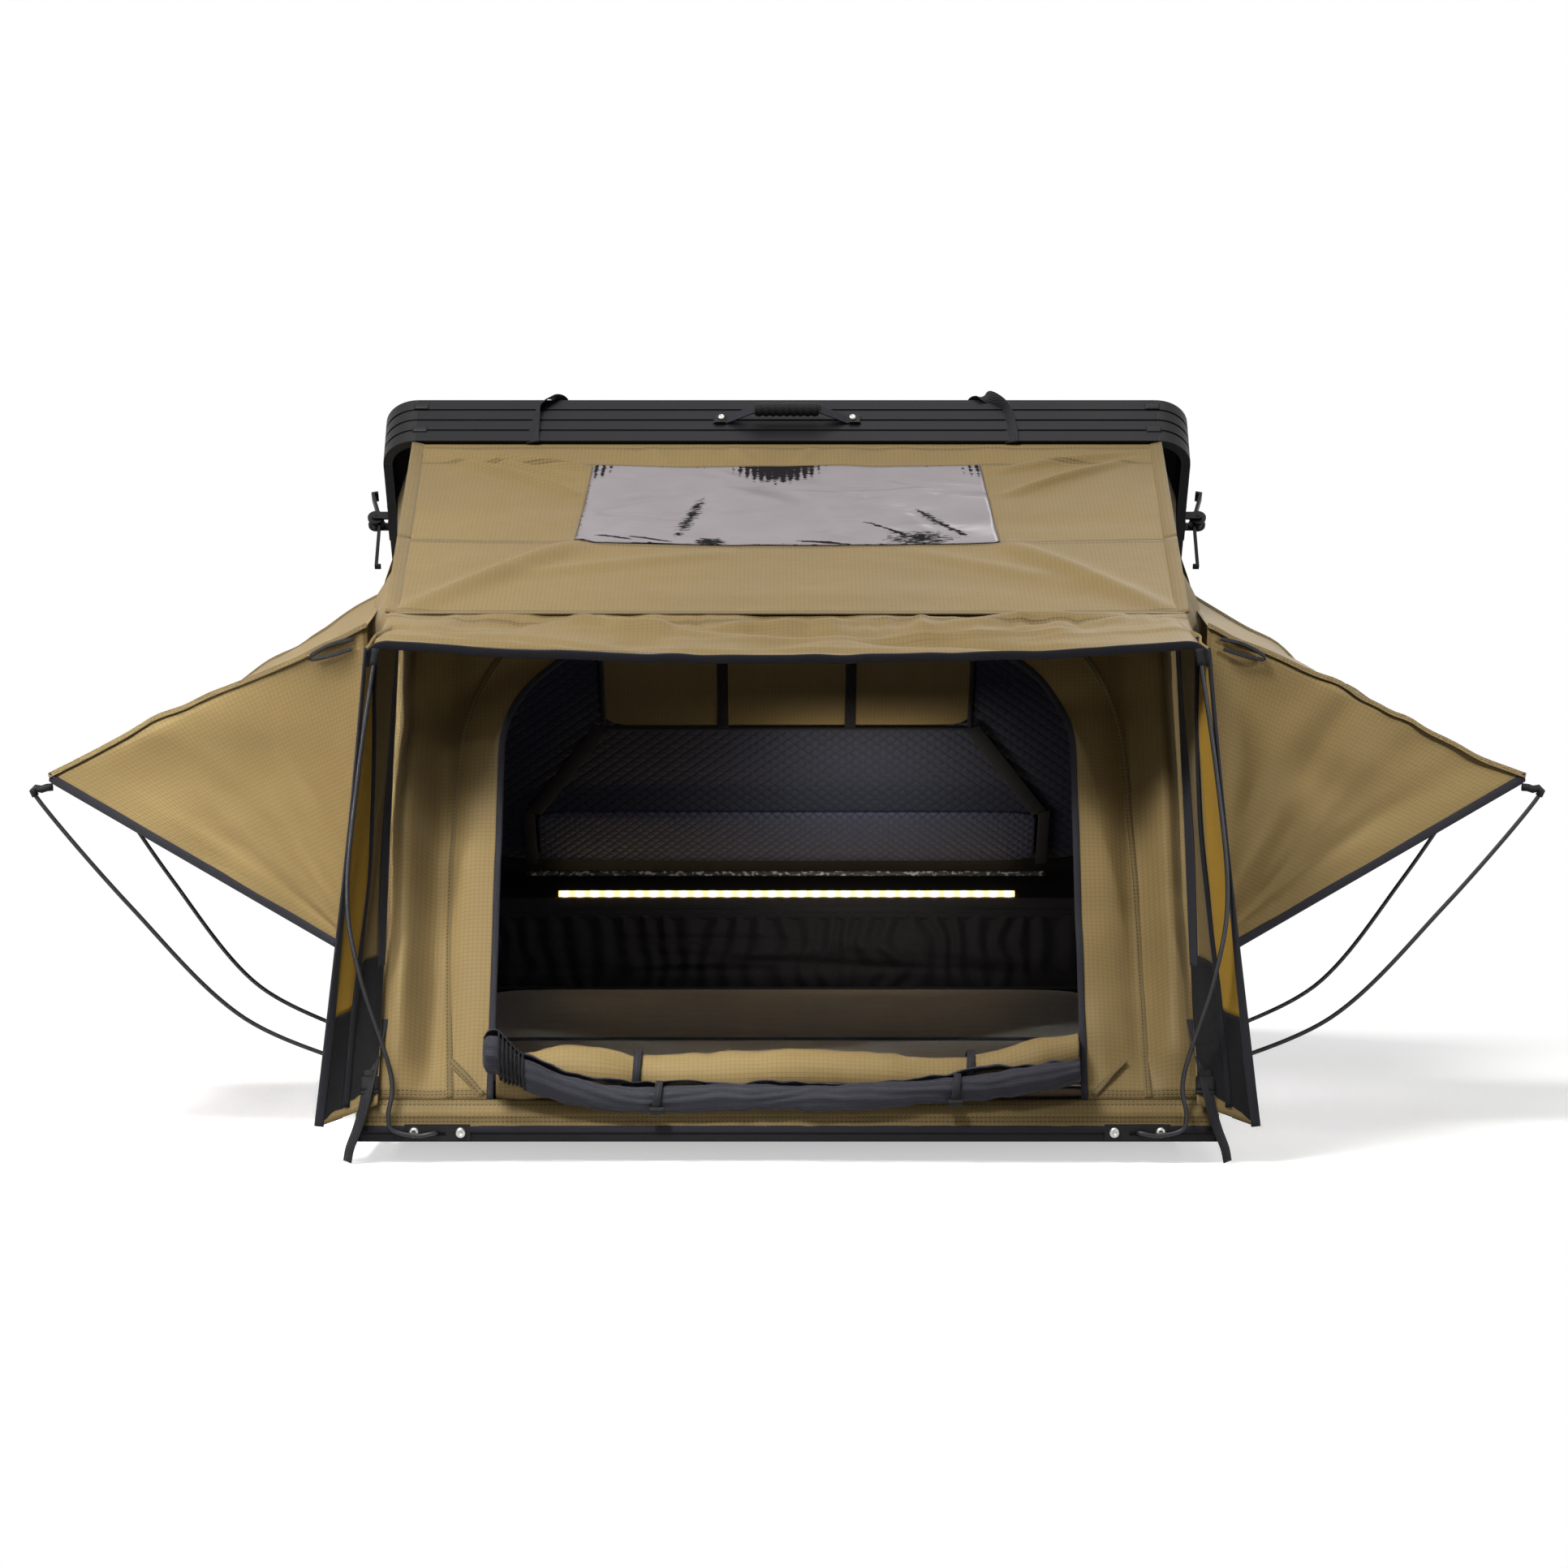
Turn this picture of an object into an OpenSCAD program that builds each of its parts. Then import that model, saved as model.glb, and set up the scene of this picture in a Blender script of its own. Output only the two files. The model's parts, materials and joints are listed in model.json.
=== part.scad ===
// Roof top tent: tray, hinged lid, fold-out floor and canvas canopy.
// Millimetres. X runs across, Y to the rear, Z up from the mounting channels.

/* [Shell] */
// Outer width of tray and lid
shell_w = 1400; // [1380:2:1420]
// Outer length of tray and lid
shell_len = 1258; // [1240:2:1280]
// Height of the tray walls
tray_h = 215; // [210:1:225]
// Height of the lid rim
lid_h = 100; // [90:1:115]
// Thickness of the extruded rails
wall_t = 16; // [14:1:18]
// Outer radius of the corner castings
corner_r = 60; // [50:1:70]
// Thickness of tray pan and floor panel
pan_t = 26; // [24:1:28]
// Angle of the open lid
open_angle = 42.4; // [41:0.1:43.5]
// Width of a rail groove
groove_w = 5; // [3:0.5:8]
// Depth of a rail groove
groove_d = 2; // [1:0.1:3]
// Distance of the lid axis behind the shell
hinge_back = 10; // [9:0.5:12]
// Radius of a lid hinge knuckle
knuckle_r = 7.5; // [7:0.1:8]

/* [Floor] */
// Inset of the fold-out floor from each side of the shell
floor_inset = 67.5; // [65:0.5:70]
// Length of the fold-out floor
floor_len = 889; // [880:1:895]
// Gap between floor and tray
fold_gap = 3; // [2:0.5:5]
// Thickness of the mattress halves
mattress_t = 44; // [40:1:46]
// Half the space left between the folded mattress halves
fold_space = 12; // [11:0.5:14]
// Depth of the floor frame below the panel
frame_drop = 14; // [10:1:16]
// Width of the floor frame profiles
frame_w = 22; // [20:1:24]
// Radius of the keder bead of a side wall
keder_r = 4; // [3:0.5:5]
// Radius of the fold pins
fold_pin_r = 4; // [3:0.5:5]

/* [Canopy] */
// Distance of the crease behind the floor front edge
crease_y = 420; // [415:1:430]
// Height of the crease above the floor underside
crease_z = 762; // [755:1:770]
// Inset of the canopy from each side of the floor at the crease
canopy_inset = 15.5; // [14.5:0.5:17.5]
// Reach of the front awning ahead of the crease
awning_reach = 270; // [255:1:285]
// Drop of the front awning at its ends
awning_drop = 47; // [42:1:52]
// Further drop of the front awning in its middle
awning_sag = 23; // [15:1:30]
// Half width of the door opening
door_half = 436; // [425:1:445]
// Corner radius of the door arch
arch_r = 200; // [180:1:220]
// Half width of the sky window at its lower edge
window_half = 346; // [335:1:355]
// Distance of the side awning edge from the middle
side_reach = 1148; // [1120:1:1160]
// Thickness of a canvas sheet
sheet_t = 2.4; // [2:0.1:2.8]
// Depth of the canvas folds
fold_depth = 7; // [4:1:9]
// Radius of the front bow tube
bow_r = 9.5; // [9:0.1:10]
// Radius of the bow pivot pins
bow_pin_r = 4; // [3:0.5:5]
// Radius of the spring rods
rod_r = 4; // [3.5:0.1:4.5]

/* [Fittings] */
// Distance of the mounting channels from the middle
channel_x = 380; // [350:5:420]
// Height of the mounting channels
channel_h = 45; // [42:1:48]
// Radius of the channel bolts
bolt_r = 4; // [3:0.5:5]
// Distance of a latch from the lid lip
latch_back = 240; // [225:5:260]
// Radius of the latch pivot pin
latch_pin_r = 3; // [2.5:0.1:3.5]
// Throw radius of the latch hook pin
latch_throw = 10; // [9:0.5:10.5]
// Turn of the latch lever
latch_turn = 165; // [160:1:168]
// Distance between the handle bolts
handle_span = 227; // [210:1:240]
// Radius of the handle grip
grip_r = 12; // [10:0.5:14]
// Gap left between pieces that touch
gap = 0.3; // [0.2:0.05:0.5]
// Radial clearance of a pin in its bore
pin_play = 0.05; // [0.02:0.01:0.1]

/* [Hidden] */
$fn = 48;
tray_y0 = floor_len + fold_gap;
tray_y1 = tray_y0 + shell_len;
axis_y = tray_y1 + hinge_back;
axis_z = tray_h;
lid_len = shell_len + hinge_back;
fold_y = tray_y0 + 8;
fold_z = pan_t + mattress_t + fold_space;
mid_y = (tray_y0 + tray_y1) / 2;
half_w = shell_w / 2;
floor_w = shell_w - 2 * floor_inset;
floor_half = floor_w / 2;
crease_half = floor_half - canopy_inset;
lip_half = half_w - corner_r;
rail_in = floor_half - frame_w;
keder_x = rail_in + frame_w / 2;
keder_z = pan_t + keder_r + 4;
rail_top = keder_z + 3.6;
edge_y = crease_y - awning_reach;
edge_z = crease_z - awning_drop;
wall_y = -0.8;
wall_z = pan_t + 1;
bow_x = rail_in - 12.5;
fold_x = rail_in - 4.5;
mattress_half = rail_in - 32.5;
bow_foot_y = fold_y - 40;
bow_bar_y = crease_y + 9.5;
bow_bar_z = crease_z - 9.5;
latch_y = tray_y0 + latch_back;
latch_x = half_w + gap + 26;
latch_z = tray_h + 40;
keeper_out = half_w + 11.5;

function lerp(a, b, t) = a + (b - a) * t;
function unit(v) = v / norm(v);
function last(v) = v[len(v) - 1];
// Points of a polyline, n steps to each leg
function steps(p, n) = concat([for (i = [0:len(p) - 2]) for (s = [0:n - 1])
    lerp(p[i], p[i + 1], s / n)], [last(p)]);
// Smooth curve through points, n steps to each leg
function smooth(p, n) = concat([for (i = [0:len(p) - 2]) for (s = [0:n - 1])
    let(a = p[max(i - 1, 0)], b = p[i], c = p[i + 1], d = p[min(i + 2, len(p) - 1)], t = s / n)
    0.5 * (2 * b + (c - a) * t + (2 * a - 5 * b + 4 * c - d) * t * t
        + (3 * b - a - 3 * c + d) * t * t * t)], [last(p)]);
// Sheet rows between two edges, folded along f and still at both edges
function ruled(a, b, m, f, waves) = [for (i = [0:len(a) - 1]) [for (j = [0:m])
    lerp(a[i], b[i], j / m)
        + f * sin(180 * j / m) * pow(sin(180 * waves * i / (len(a) - 1)), 2)]];
// Point of the lid section in the open pose, from closed offsets to the axis
function lid_point(x, a, b) = [x, axis_y + a * cos(open_angle) + b * sin(open_angle),
    axis_z - a * sin(open_angle) + b * cos(open_angle)];
function mirror_rows(rows) = [for (r = rows) [for (p = r) [-p[0], p[1], p[2]]]];
function power(v, e) = sign(v) * pow(abs(v), e);

module place() {
    translate([0, -mid_y, channel_h]) children();
}

module lid_at() {
    place() translate([0, axis_y, axis_z]) rotate([-open_angle, 0, 0])
        translate([0, -axis_y, -axis_z]) children();
}

module pair() {
    children();
    mirror([1, 0, 0]) children();
}

// Closed sheet from rows of points, thickened along t
module cloth(rows, t) {
    n = len(rows);
    m = len(rows[0]);
    k = n * m;
    face = [for (r = rows) for (p = r) p];
    back = [for (p = face) p + t];
    mid = floor(n / 2);
    turn = cross(rows[mid][0] - rows[mid - 1][0], rows[mid][1] - rows[mid][0]) * t > 0;
    quads = concat(
        [for (i = [0:n - 2]) for (j = [0:m - 2])
            [i * m + j, (i + 1) * m + j, (i + 1) * m + j + 1, i * m + j + 1]],
        [for (i = [0:n - 2]) for (j = [0:m - 2])
            [k + i * m + j + 1, k + (i + 1) * m + j + 1, k + (i + 1) * m + j, k + i * m + j]],
        [for (i = [0:n - 2]) [(i + 1) * m, i * m, k + i * m, k + (i + 1) * m]],
        [for (i = [0:n - 2]) [i * m + m - 1, (i + 1) * m + m - 1,
            k + (i + 1) * m + m - 1, k + i * m + m - 1]],
        [for (j = [0:m - 2]) [j, j + 1, k + j + 1, k + j]],
        [for (j = [0:m - 2]) [(n - 1) * m + j + 1, (n - 1) * m + j,
            k + (n - 1) * m + j, k + (n - 1) * m + j + 1]]);
    tris = [for (q = quads) each [[q[0], q[1], q[2]], [q[0], q[2], q[3]]]];
    polyhedron(concat(face, back), turn ? tris : [for (f = tris) [f[2], f[1], f[0]]]);
}

// Round rod along a path
module rod(path, r) {
    n = len(path);
    k = 10;
    rim = [for (i = [0:n - 1]) let(d = unit(path[min(i + 1, n - 1)] - path[max(i - 1, 0)]),
        u = unit(cross(d, [0.2, 1, 0.1])), v = cross(d, u))
        for (j = [0:k - 1]) path[i] + r * (cos(360 * j / k) * u + sin(360 * j / k) * v)];
    walls = [for (i = [0:n - 2]) for (j = [0:k - 1]) let(b = (j + 1) % k) each
        [[i * k + j, (i + 1) * k + j, (i + 1) * k + b], [i * k + j, (i + 1) * k + b, i * k + b]]];
    caps = [[for (j = [0:k - 1]) j], [for (j = [0:k - 1]) (n - 1) * k + k - 1 - j]];
    polyhedron(rim, concat(walls, caps));
}

// Cushion with drawn-in sides and a crown on its upper face
module cushion(a, b, c, crown) {
    nu = 44;
    nv = 12;
    e = 0.22;
    rings = [for (i = [1:nv - 1]) let(w = 180 * i / nv - 90) for (j = [0:nu - 1])
        let(x = power(cos(w), e) * power(cos(360 * j / nu), e),
            y = power(cos(w), e) * power(sin(360 * j / nu), e),
            z = power(sin(w), e))
        [a * x, b * y, c * z + (z > 0 ? crown * z * (1 - x * x) * (1 - y * y) : 0)]];
    k = len(rings);
    walls = [for (i = [0:nv - 3]) for (j = [0:nu - 1]) let(m = (j + 1) % nu) each
        [[i * nu + j, (i + 1) * nu + j, (i + 1) * nu + m], [i * nu + j, (i + 1) * nu + m, i * nu + m]]];
    caps = [for (j = [0:nu - 1]) let(m = (j + 1) % nu) each
        [[k, j, m], [k + 1, (nv - 2) * nu + m, (nv - 2) * nu + j]]];
    polyhedron(concat(rings, [[0, 0, -c], [0, 0, c + crown]]), concat(walls, caps));
}

// Plate with four round corners
module round_plate(w, l, r, h) {
    linear_extrude(h) {
        square([w - 2 * r, l], center = true);
        square([w, l - 2 * r], center = true);
        for (x = [-1, 1]) for (y = [-1, 1])
            translate([x * (w / 2 - r), y * (l / 2 - r)]) circle(r);
    }
}

// Section of a grooved rail, outer face at zero
module rail_section(h) {
    difference() {
        translate([-wall_t, 0]) square([wall_t, h]);
        for (k = [1:3])
            translate([-groove_d, h * k / 4 - groove_w / 2]) square([groove_d + 1, groove_w]);
    }
}

module rail_along(y0, y1, h) {
    translate([half_w, y1, 0]) rotate([90, 0, 0]) linear_extrude(y1 - y0) rail_section(h);
}

module rail_across(y, h) {
    reach = half_w - corner_r - gap;
    translate([-reach, y, 0]) rotate([90, 0, 90]) linear_extrude(2 * reach) rail_section(h);
}

module corner_casting(h) {
    rotate_extrude(angle = 90) translate([corner_r, 0]) rail_section(h);
}

// Tray

module tray_pan() {
    w = shell_w - 2 * (wall_t + gap);
    y0 = tray_y0 + frame_w + gap;
    y1 = tray_y1 - wall_t - gap;
    color("dimgray") place() difference() {
        translate([0, (y0 + y1) / 2, 0]) round_plate(w, y1 - y0, corner_r - wall_t - gap, pan_t);
        bolt_spots() cylinder(h = 16, r = bolt_r + pin_play);
    }
}

module bolt_spots() {
    for (x = [-1, 1]) for (k = [-1, 0, 1])
        translate([x * channel_x, mid_y + k * shell_len / 3, -1]) children();
}

module tray_sides() {
    color("dimgray") place() pair() rail_along(tray_y0, tray_y1 - corner_r - gap, tray_h);
}

module tray_rear() {
    color("dimgray") place() rail_across(tray_y1, tray_h);
}

module tray_corners() {
    color("black") place() pair()
        translate([half_w - corner_r, tray_y1 - corner_r, 0]) corner_casting(tray_h);
}

module front_sill() {
    w = shell_w - 2 * (wall_t + gap);
    color("dimgray") place() difference() {
        translate([-w / 2, tray_y0, 0]) cube([w, frame_w, pan_t]);
        translate([-w / 2 - 1, tray_y0 - 1, pan_t / 2 - groove_w / 2])
            cube([w + 2, groove_d + 1, groove_w]);
    }
}

module channel_section() {
    difference() {
        translate([-30, 0]) square([60, channel_h - gap]);
        translate([-25, 5]) square([50, channel_h - gap - 11]);
        translate([-11, -1]) square([22, 8]);
    }
}

module mount_channels() {
    color("black") place() difference() {
        for (x = [-1, 1]) translate([x * channel_x, tray_y1 - 40, -channel_h])
            rotate([90, 0, 0]) linear_extrude(shell_len - 80) channel_section();
        bolt_spots() translate([0, 0, -8]) cylinder(h = 10, r = bolt_r + pin_play);
    }
}

module channel_bolts() {
    color("silver") place() bolt_spots() {
        translate([0, 0, -5 - gap - 6]) cylinder(h = 6 - gap, r = bolt_r * 2);
        translate([0, 0, -5 - gap - 3]) cylinder(h = 5 + gap + 3 + 15, r = bolt_r);
    }
}

module tray_mattress() {
    l = shell_len - 70;
    color("saddlebrown") place() translate([0, fold_y + 6 + l / 2, pan_t + gap + mattress_t / 2 - 1])
        cushion(mattress_half, l / 2, mattress_t / 2 - 1, 1);
}

module rear_pocket() {
    y = tray_y1 - wall_t - 14;
    half = half_w - 140;
    low = steps([[-half, y, 50], [half, y, 50]], 44);
    high = steps([[-half, y + 11, tray_h - 14], [half, y + 11, tray_h - 14]], 44);
    color("black") place() cloth(ruled(low, high, 4, [0, 5, 0], 16), [0, sheet_t, 0]);
}

module lid_hinge_base() {
    color("black") place() for (x = [-450, 0, 450]) for (s = [-1, 1])
        translate([x + s * 45 - 15, 0, 0]) difference() {
            union() {
                translate([0, axis_y, axis_z]) rotate([0, 90, 0]) cylinder(h = 30, r = knuckle_r);
                translate([0, tray_y1 + gap, axis_z - knuckle_r])
                    cube([30, hinge_back - gap, 3]);
                translate([0, tray_y1 + gap, axis_z - 60]) cube([30, 3, 60 - knuckle_r + 3]);
            }
            translate([-1, axis_y, axis_z]) rotate([0, 90, 0]) cylinder(h = 32, r = 4 + pin_play);
        }
}

module lid_hinge_pins() {
    color("silver") place() for (x = [-450, 0, 450])
        translate([x - 62, axis_y, axis_z]) rotate([0, 90, 0]) cylinder(h = 124, r = 4);
}

module fold_plates_base() {
    color("black") place() pair() difference() {
        union() {
            translate([fold_x, fold_y, fold_z]) rotate([0, 90, 0]) cylinder(h = 6, r = 12);
            translate([fold_x, fold_y - 7, pan_t + gap]) cube([6, 27, fold_z - pan_t - gap]);
            translate([fold_x, fold_y - 7, pan_t + gap]) cube([34, 34, 4]);
        }
        translate([fold_x - 1, fold_y, fold_z]) rotate([0, 90, 0])
            cylinder(h = 8, r = fold_pin_r + pin_play);
    }
}

module fold_pins() {
    color("silver") place() pair() translate([fold_x - 2, fold_y, fold_z]) rotate([0, 90, 0]) {
        cylinder(h = 18, r = fold_pin_r);
        translate([0, 0, 15.6]) cylinder(h = 4, r = fold_pin_r + 3);
    }
}

module latch_keepers() {
    color("black") place() pair() translate([half_w + gap, latch_y - 12, 0]) {
        translate([0, 0, tray_h - 45]) cube([keeper_out - half_w - gap, 24, 12]);
        translate([0, -6, tray_h - 45]) cube([3, 36, 26]);
    }
}

side_foot = [floor_half + gap + 9, 450, 4];
rear_foot = [half_w + gap + 9, 950, 20];
rear_tip = [side_reach - 24, 962, 512];
side_tip = [side_reach, 418, 496];

module socket(foot) {
    difference() {
        union() {
            translate(foot) translate([0, 0, -14]) cylinder(h = 40, r = rod_r + 4);
            translate(foot) translate([-9, -18, -14]) cube([5, 36, 40]);
        }
        translate(foot) translate([0, 0, -6]) cylinder(h = 40, r = rod_r + 0.6);
    }
}

module rear_sockets() {
    color("black") place() pair() socket(rear_foot);
}

// Path of a side rod from its socket to its tip
function side_path(foot, tip) = concat([foot + [0, 0, -5], foot + [0, 0, 18], foot + [0, 0, 28]],
    smooth([foot + [10, 0, 46], lerp(foot, tip, 0.33) + [42, 0, -30],
        lerp(foot, tip, 0.68) + [36, 0, -30], tip + [14, 0, -22], tip + [8, 0, -5],
        tip + [-8, 0, -2]], 4));

module rear_rods() {
    color("silver") place() pair() rod(side_path(rear_foot, rear_tip), rod_r);
}

module rear_canvas() {
    inner = half_w - wall_t - gap - sheet_t - 0.4;
    low = steps([[floor_half + 8.5, tray_y0 + 6, 104], [inner, tray_y0 + 130, 150],
        [inner, tray_y0 + 330, 150],
        [inner, tray_y1 - 60, 190]], 9);
    high = steps([[crease_half + 7, tray_y0 - 2, crease_z + 166],
        lid_point(lip_half + 6, -lid_len + wall_t + 12, 4),
        lid_point(inner, -lid_len + 150, 6), lid_point(inner, -90, 6)], 9);
    color("tan") place() pair() cloth(ruled(low, high, 6, [-fold_depth, 0, 0], 5), [sheet_t, 0, 0]);
}

// Lid

module lid_rails() {
    color("dimgray") lid_at() translate([0, 0, axis_z]) {
        pair() rail_along(tray_y0 + corner_r + gap, tray_y1 - corner_r - gap, lid_h);
        rail_across(tray_y1, lid_h);
    }
}

module lid_front_rail() {
    color("dimgray") lid_at() translate([0, tray_y0, axis_z]) rotate([0, 0, 180])
        rail_across(0, lid_h);
}

module lid_corners() {
    color("black") lid_at() translate([0, 0, axis_z]) pair() {
        translate([half_w - corner_r, tray_y1 - corner_r, 0]) corner_casting(lid_h);
        translate([half_w - corner_r, tray_y0 + corner_r, 0]) rotate([0, 0, -90])
            corner_casting(lid_h);
    }
}

module lid_panel() {
    w = shell_w - 2 * (wall_t + gap);
    l = shell_len - 2 * (wall_t + gap);
    color("black") lid_at() translate([0, mid_y, axis_z + lid_h - 31])
        round_plate(w, l, corner_r - wall_t - gap, 26);
}

module lid_hinge_leaf() {
    color("black") lid_at() for (x = [-450, 0, 450]) translate([x - 29.6, 0, 0]) difference() {
        union() {
            translate([0, axis_y, axis_z]) rotate([0, 90, 0]) cylinder(h = 59.2, r = knuckle_r);
            translate([0, tray_y1 + gap, axis_z + knuckle_r - 3]) cube([59.2, hinge_back - gap, 3]);
            translate([0, tray_y1 + gap, axis_z + knuckle_r - 3]) cube([59.2, 3, 50]);
        }
        translate([-1, axis_y, axis_z]) rotate([0, 90, 0]) cylinder(h = 62, r = 4 + pin_play);
    }
}

module handle_spot() {
    lid_at() translate([0, tray_y0, axis_z + lid_h / 2]) children();
}

module handle_grip() {
    color("black") handle_spot() translate([0, -26, 0]) difference() {
        rotate([0, 90, 0]) union() {
            cylinder(h = 110, r = grip_r - 1.5, center = true);
            for (k = [-4:4]) translate([0, 0, k * 12]) cylinder(h = 7, r = grip_r, center = true);
        }
        cube([120, 2.5 + 2 * gap, 18.6], center = true);
    }
}

module handle_strap() {
    e = handle_span / 2;
    color("black") handle_spot() translate([0, 0, -9]) linear_extrude(18) polygon([
        [-e - 14, -gap], [-e - 14, -gap - 2.5], [-e + 10, -gap - 2.5], [-58, -27.25], [58, -27.25],
        [e - 10, -gap - 2.5], [e + 14, -gap - 2.5], [e + 14, -gap], [e - 9, -gap], [58, -24.75],
        [-58, -24.75], [-e + 9, -gap]]);
}

module handle_plates() {
    color("black") handle_spot() for (s = [-1, 1]) translate([s * handle_span / 2, 0, 0]) {
        translate([s * 3 - 8, -2 * gap - 5.5, -10]) cube([18, 3, 20]);
        translate([0, -2 * gap - 5, 0]) rotate([90, 0, 0]) cylinder(h = 3.5, r = 5);
    }
}

module lid_straps() {
    t = 2;
    color("black") lid_at() for (x = [-405, 355]) translate([x - 13, tray_y0, axis_z])
        rotate([90, 0, 90]) linear_extrude(26) difference() {
            translate([-gap - t, 3]) square([wall_t + 2 * gap + t, lid_h + gap + t - 3]);
            translate([-gap, -1]) square([wall_t + 40, lid_h + gap + 1]);
        }
}

module latch_plates() {
    color("silver") lid_at() pair() difference() {
        union() {
            translate([half_w + gap, latch_y - 22, latch_z - 26]) cube([3, 44, 56]);
            for (s = [-1, 1]) {
                translate([half_w + gap, latch_y + s * 14 - 2, latch_z - 8])
                    cube([latch_x - half_w - gap, 4, 16]);
                translate([latch_x, latch_y + s * 14 + 2, latch_z]) rotate([90, 0, 0])
                    cylinder(h = 4, r = 8);
            }
            for (s = [-1, 1]) translate([half_w + gap, latch_y + s * 15, latch_z + 22])
                rotate([0, 90, 0]) cylinder(h = 6, r = 5);
        }
        translate([latch_x, latch_y + 30, latch_z]) rotate([90, 0, 0])
            cylinder(h = 60, r = latch_pin_r + pin_play);
    }
}

module lid_liner() {
    color("darkslategray") lid_at() translate([0, mid_y, axis_z + lid_h - 31 - gap - 9])
        cushion(half_w - 64, shell_len / 2 - 66, 9, 0);
}

module organizer() {
    color("tan") lid_at() translate([0, axis_y - 649, axis_z + lid_h - 31 - 2 * gap - 18 - 5])
        cushion(342, 171, 5, 0);
}

module led_strip() {
    y = tray_y1 - wall_t - gap;
    color("white") lid_at() {
        translate([-440, y - 4, axis_z + 4]) cube([880, 4, 12]);
        translate([-440, y - 4.5, axis_z + 10]) rotate([0, 90, 0]) cylinder(h = 880, r = 4);
    }
}

window_u0 = 0.13;
window_u1 = 0.585;
seam_u = 0.0009;

// Point of the roof, u from lid lip to crease
function roof_point(x, u) = lerp(lid_point(x, -lid_len + 8, -1.7),
    [x, crease_y + 0.4, crease_z + 0.3], u);
function roof_half(u) = lerp(lip_half, crease_half, u);
function roof_z(y) = let(a = roof_point(0, 0), b = roof_point(0, 1))
    lerp(b[2], a[2], (y - b[1]) / (a[1] - b[1]));
roof_run = roof_point(0, 0) - roof_point(0, 1);
roof_up = unit([0, -roof_run[2], roof_run[1]]);
function roof_line(p, n) = [for (q = steps(p, n)) roof_point(q[0], q[1])];

module roof_canvas() {
    top_half = window_half - 16;
    inner = roof_line([[-window_half, window_u1], [-top_half, window_u0], [top_half, window_u0],
        [window_half, window_u1]], 12);
    outer = roof_line([[-roof_half(window_u1), window_u1], [-lip_half, 0], [lip_half, 0],
        [roof_half(window_u1), window_u1]], 12);
    color("tan") place() cloth(ruled(outer, inner, 5, -roof_up * 3, 14), roof_up * sheet_t);
}

module sky_window() {
    side = 0.8;
    u0 = window_u0 + seam_u;
    high = roof_line([[-window_half + 16 + side, u0], [window_half - 16 - side, u0]], 24);
    low = roof_line([[-window_half + side, window_u1], [window_half - side, window_u1]], 24);
    color("thistle") place() cloth(ruled(high, low, 10, -roof_up * 5, 7), roof_up * sheet_t);
}

// Floor

module floor_panel() {
    w = 2 * (rail_in - gap);
    color("dimgray") place() translate([-w / 2, frame_w + gap, 0])
        cube([w, floor_len - frame_w - gap, pan_t]);
}

module floor_front_profile() {
    h = pan_t + frame_drop;
    color("black") place() difference() {
        translate([0, frame_w / 2, -frame_drop]) round_plate(floor_w, frame_w, 8, h);
        for (k = [1, 2]) translate([-half_w, -1, -frame_drop + h * k / 3 - groove_w / 2])
            cube([shell_w, groove_d + 1, groove_w]);
    }
}

module floor_side_rails() {
    h = rail_top + frame_drop;
    color("black") place() pair() translate([0, floor_len - 1, 0]) rotate([90, 0, 0])
        linear_extrude(floor_len - frame_w - gap - 1) difference() {
            translate([rail_in, -frame_drop]) square([frame_w, h]);
            translate([keder_x, keder_z]) circle(keder_r + 0.3);
        }
}

bracket_x = floor_half - 120.5;

module rod_brackets() {
    color("black") place() pair() {
        difference() {
            translate([bracket_x - 48, -3.6 - gap, -12]) cube([96, 3.6, 24]);
            translate([bracket_x - 12, -10, -rod_r - 0.7]) cube([24, 20, 2 * rod_r + 1.4]);
        }
        for (s = [-1, 1]) translate([bracket_x + s * 34, -3.6, 0]) rotate([90, 0, 0])
            difference() {
                cylinder(h = 5, r = 7);
                translate([0, 0, 2]) cylinder(h = 5, r = 3.5);
            }
    }
}

module side_sockets() {
    color("black") place() pair() socket(side_foot);
}

module floor_mattress() {
    y0 = 112;
    y1 = fold_y - 15;
    color("saddlebrown") place() translate([0, (y0 + y1) / 2, pan_t + gap + mattress_t / 2 - 1])
        cushion(mattress_half, (y1 - y0) / 2, mattress_t / 2 - 1, 1);
}

module fold_plates_floor() {
    color("black") place() pair() difference() {
        union() {
            translate([fold_x + 7, fold_y, fold_z]) rotate([0, 90, 0]) cylinder(h = 6, r = 12);
            translate([fold_x + 7, fold_y - 52, rail_top + gap]) cube([6, 40, fold_z - rail_top + 8]);
            translate([fold_x + 7, fold_y - 30, fold_z - 8]) cube([6, 30, 16]);
        }
        translate([fold_x + 6, fold_y, fold_z]) rotate([0, 90, 0])
            cylinder(h = 8, r = fold_pin_r + pin_play);
    }
}

module bow_brackets() {
    x = bow_x + bow_r + 0.6;
    color("black") place() pair() difference() {
        union() {
            translate([x, bow_foot_y, fold_z]) rotate([0, 90, 0]) cylinder(h = 4, r = 12);
            translate([x, bow_foot_y - 12, rail_top + gap]) cube([4, 24, fold_z - rail_top - gap]);
        }
        translate([x - 1, bow_foot_y, fold_z]) rotate([0, 90, 0])
            cylinder(h = 6, r = bow_pin_r + pin_play);
    }
}

module bow_pins() {
    x = bow_x + bow_r + 4.6;
    color("silver") place() pair() translate([0, bow_foot_y, fold_z]) rotate([0, 90, 0]) {
        translate([0, 0, bow_x - bow_r - 3]) cylinder(h = x + 0.5 - bow_x + bow_r + 3, r = bow_pin_r);
        translate([0, 0, bow_x - bow_r - gap - 3]) cylinder(h = 3, r = bow_pin_r + 2);
    }
}

// Canopy

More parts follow.
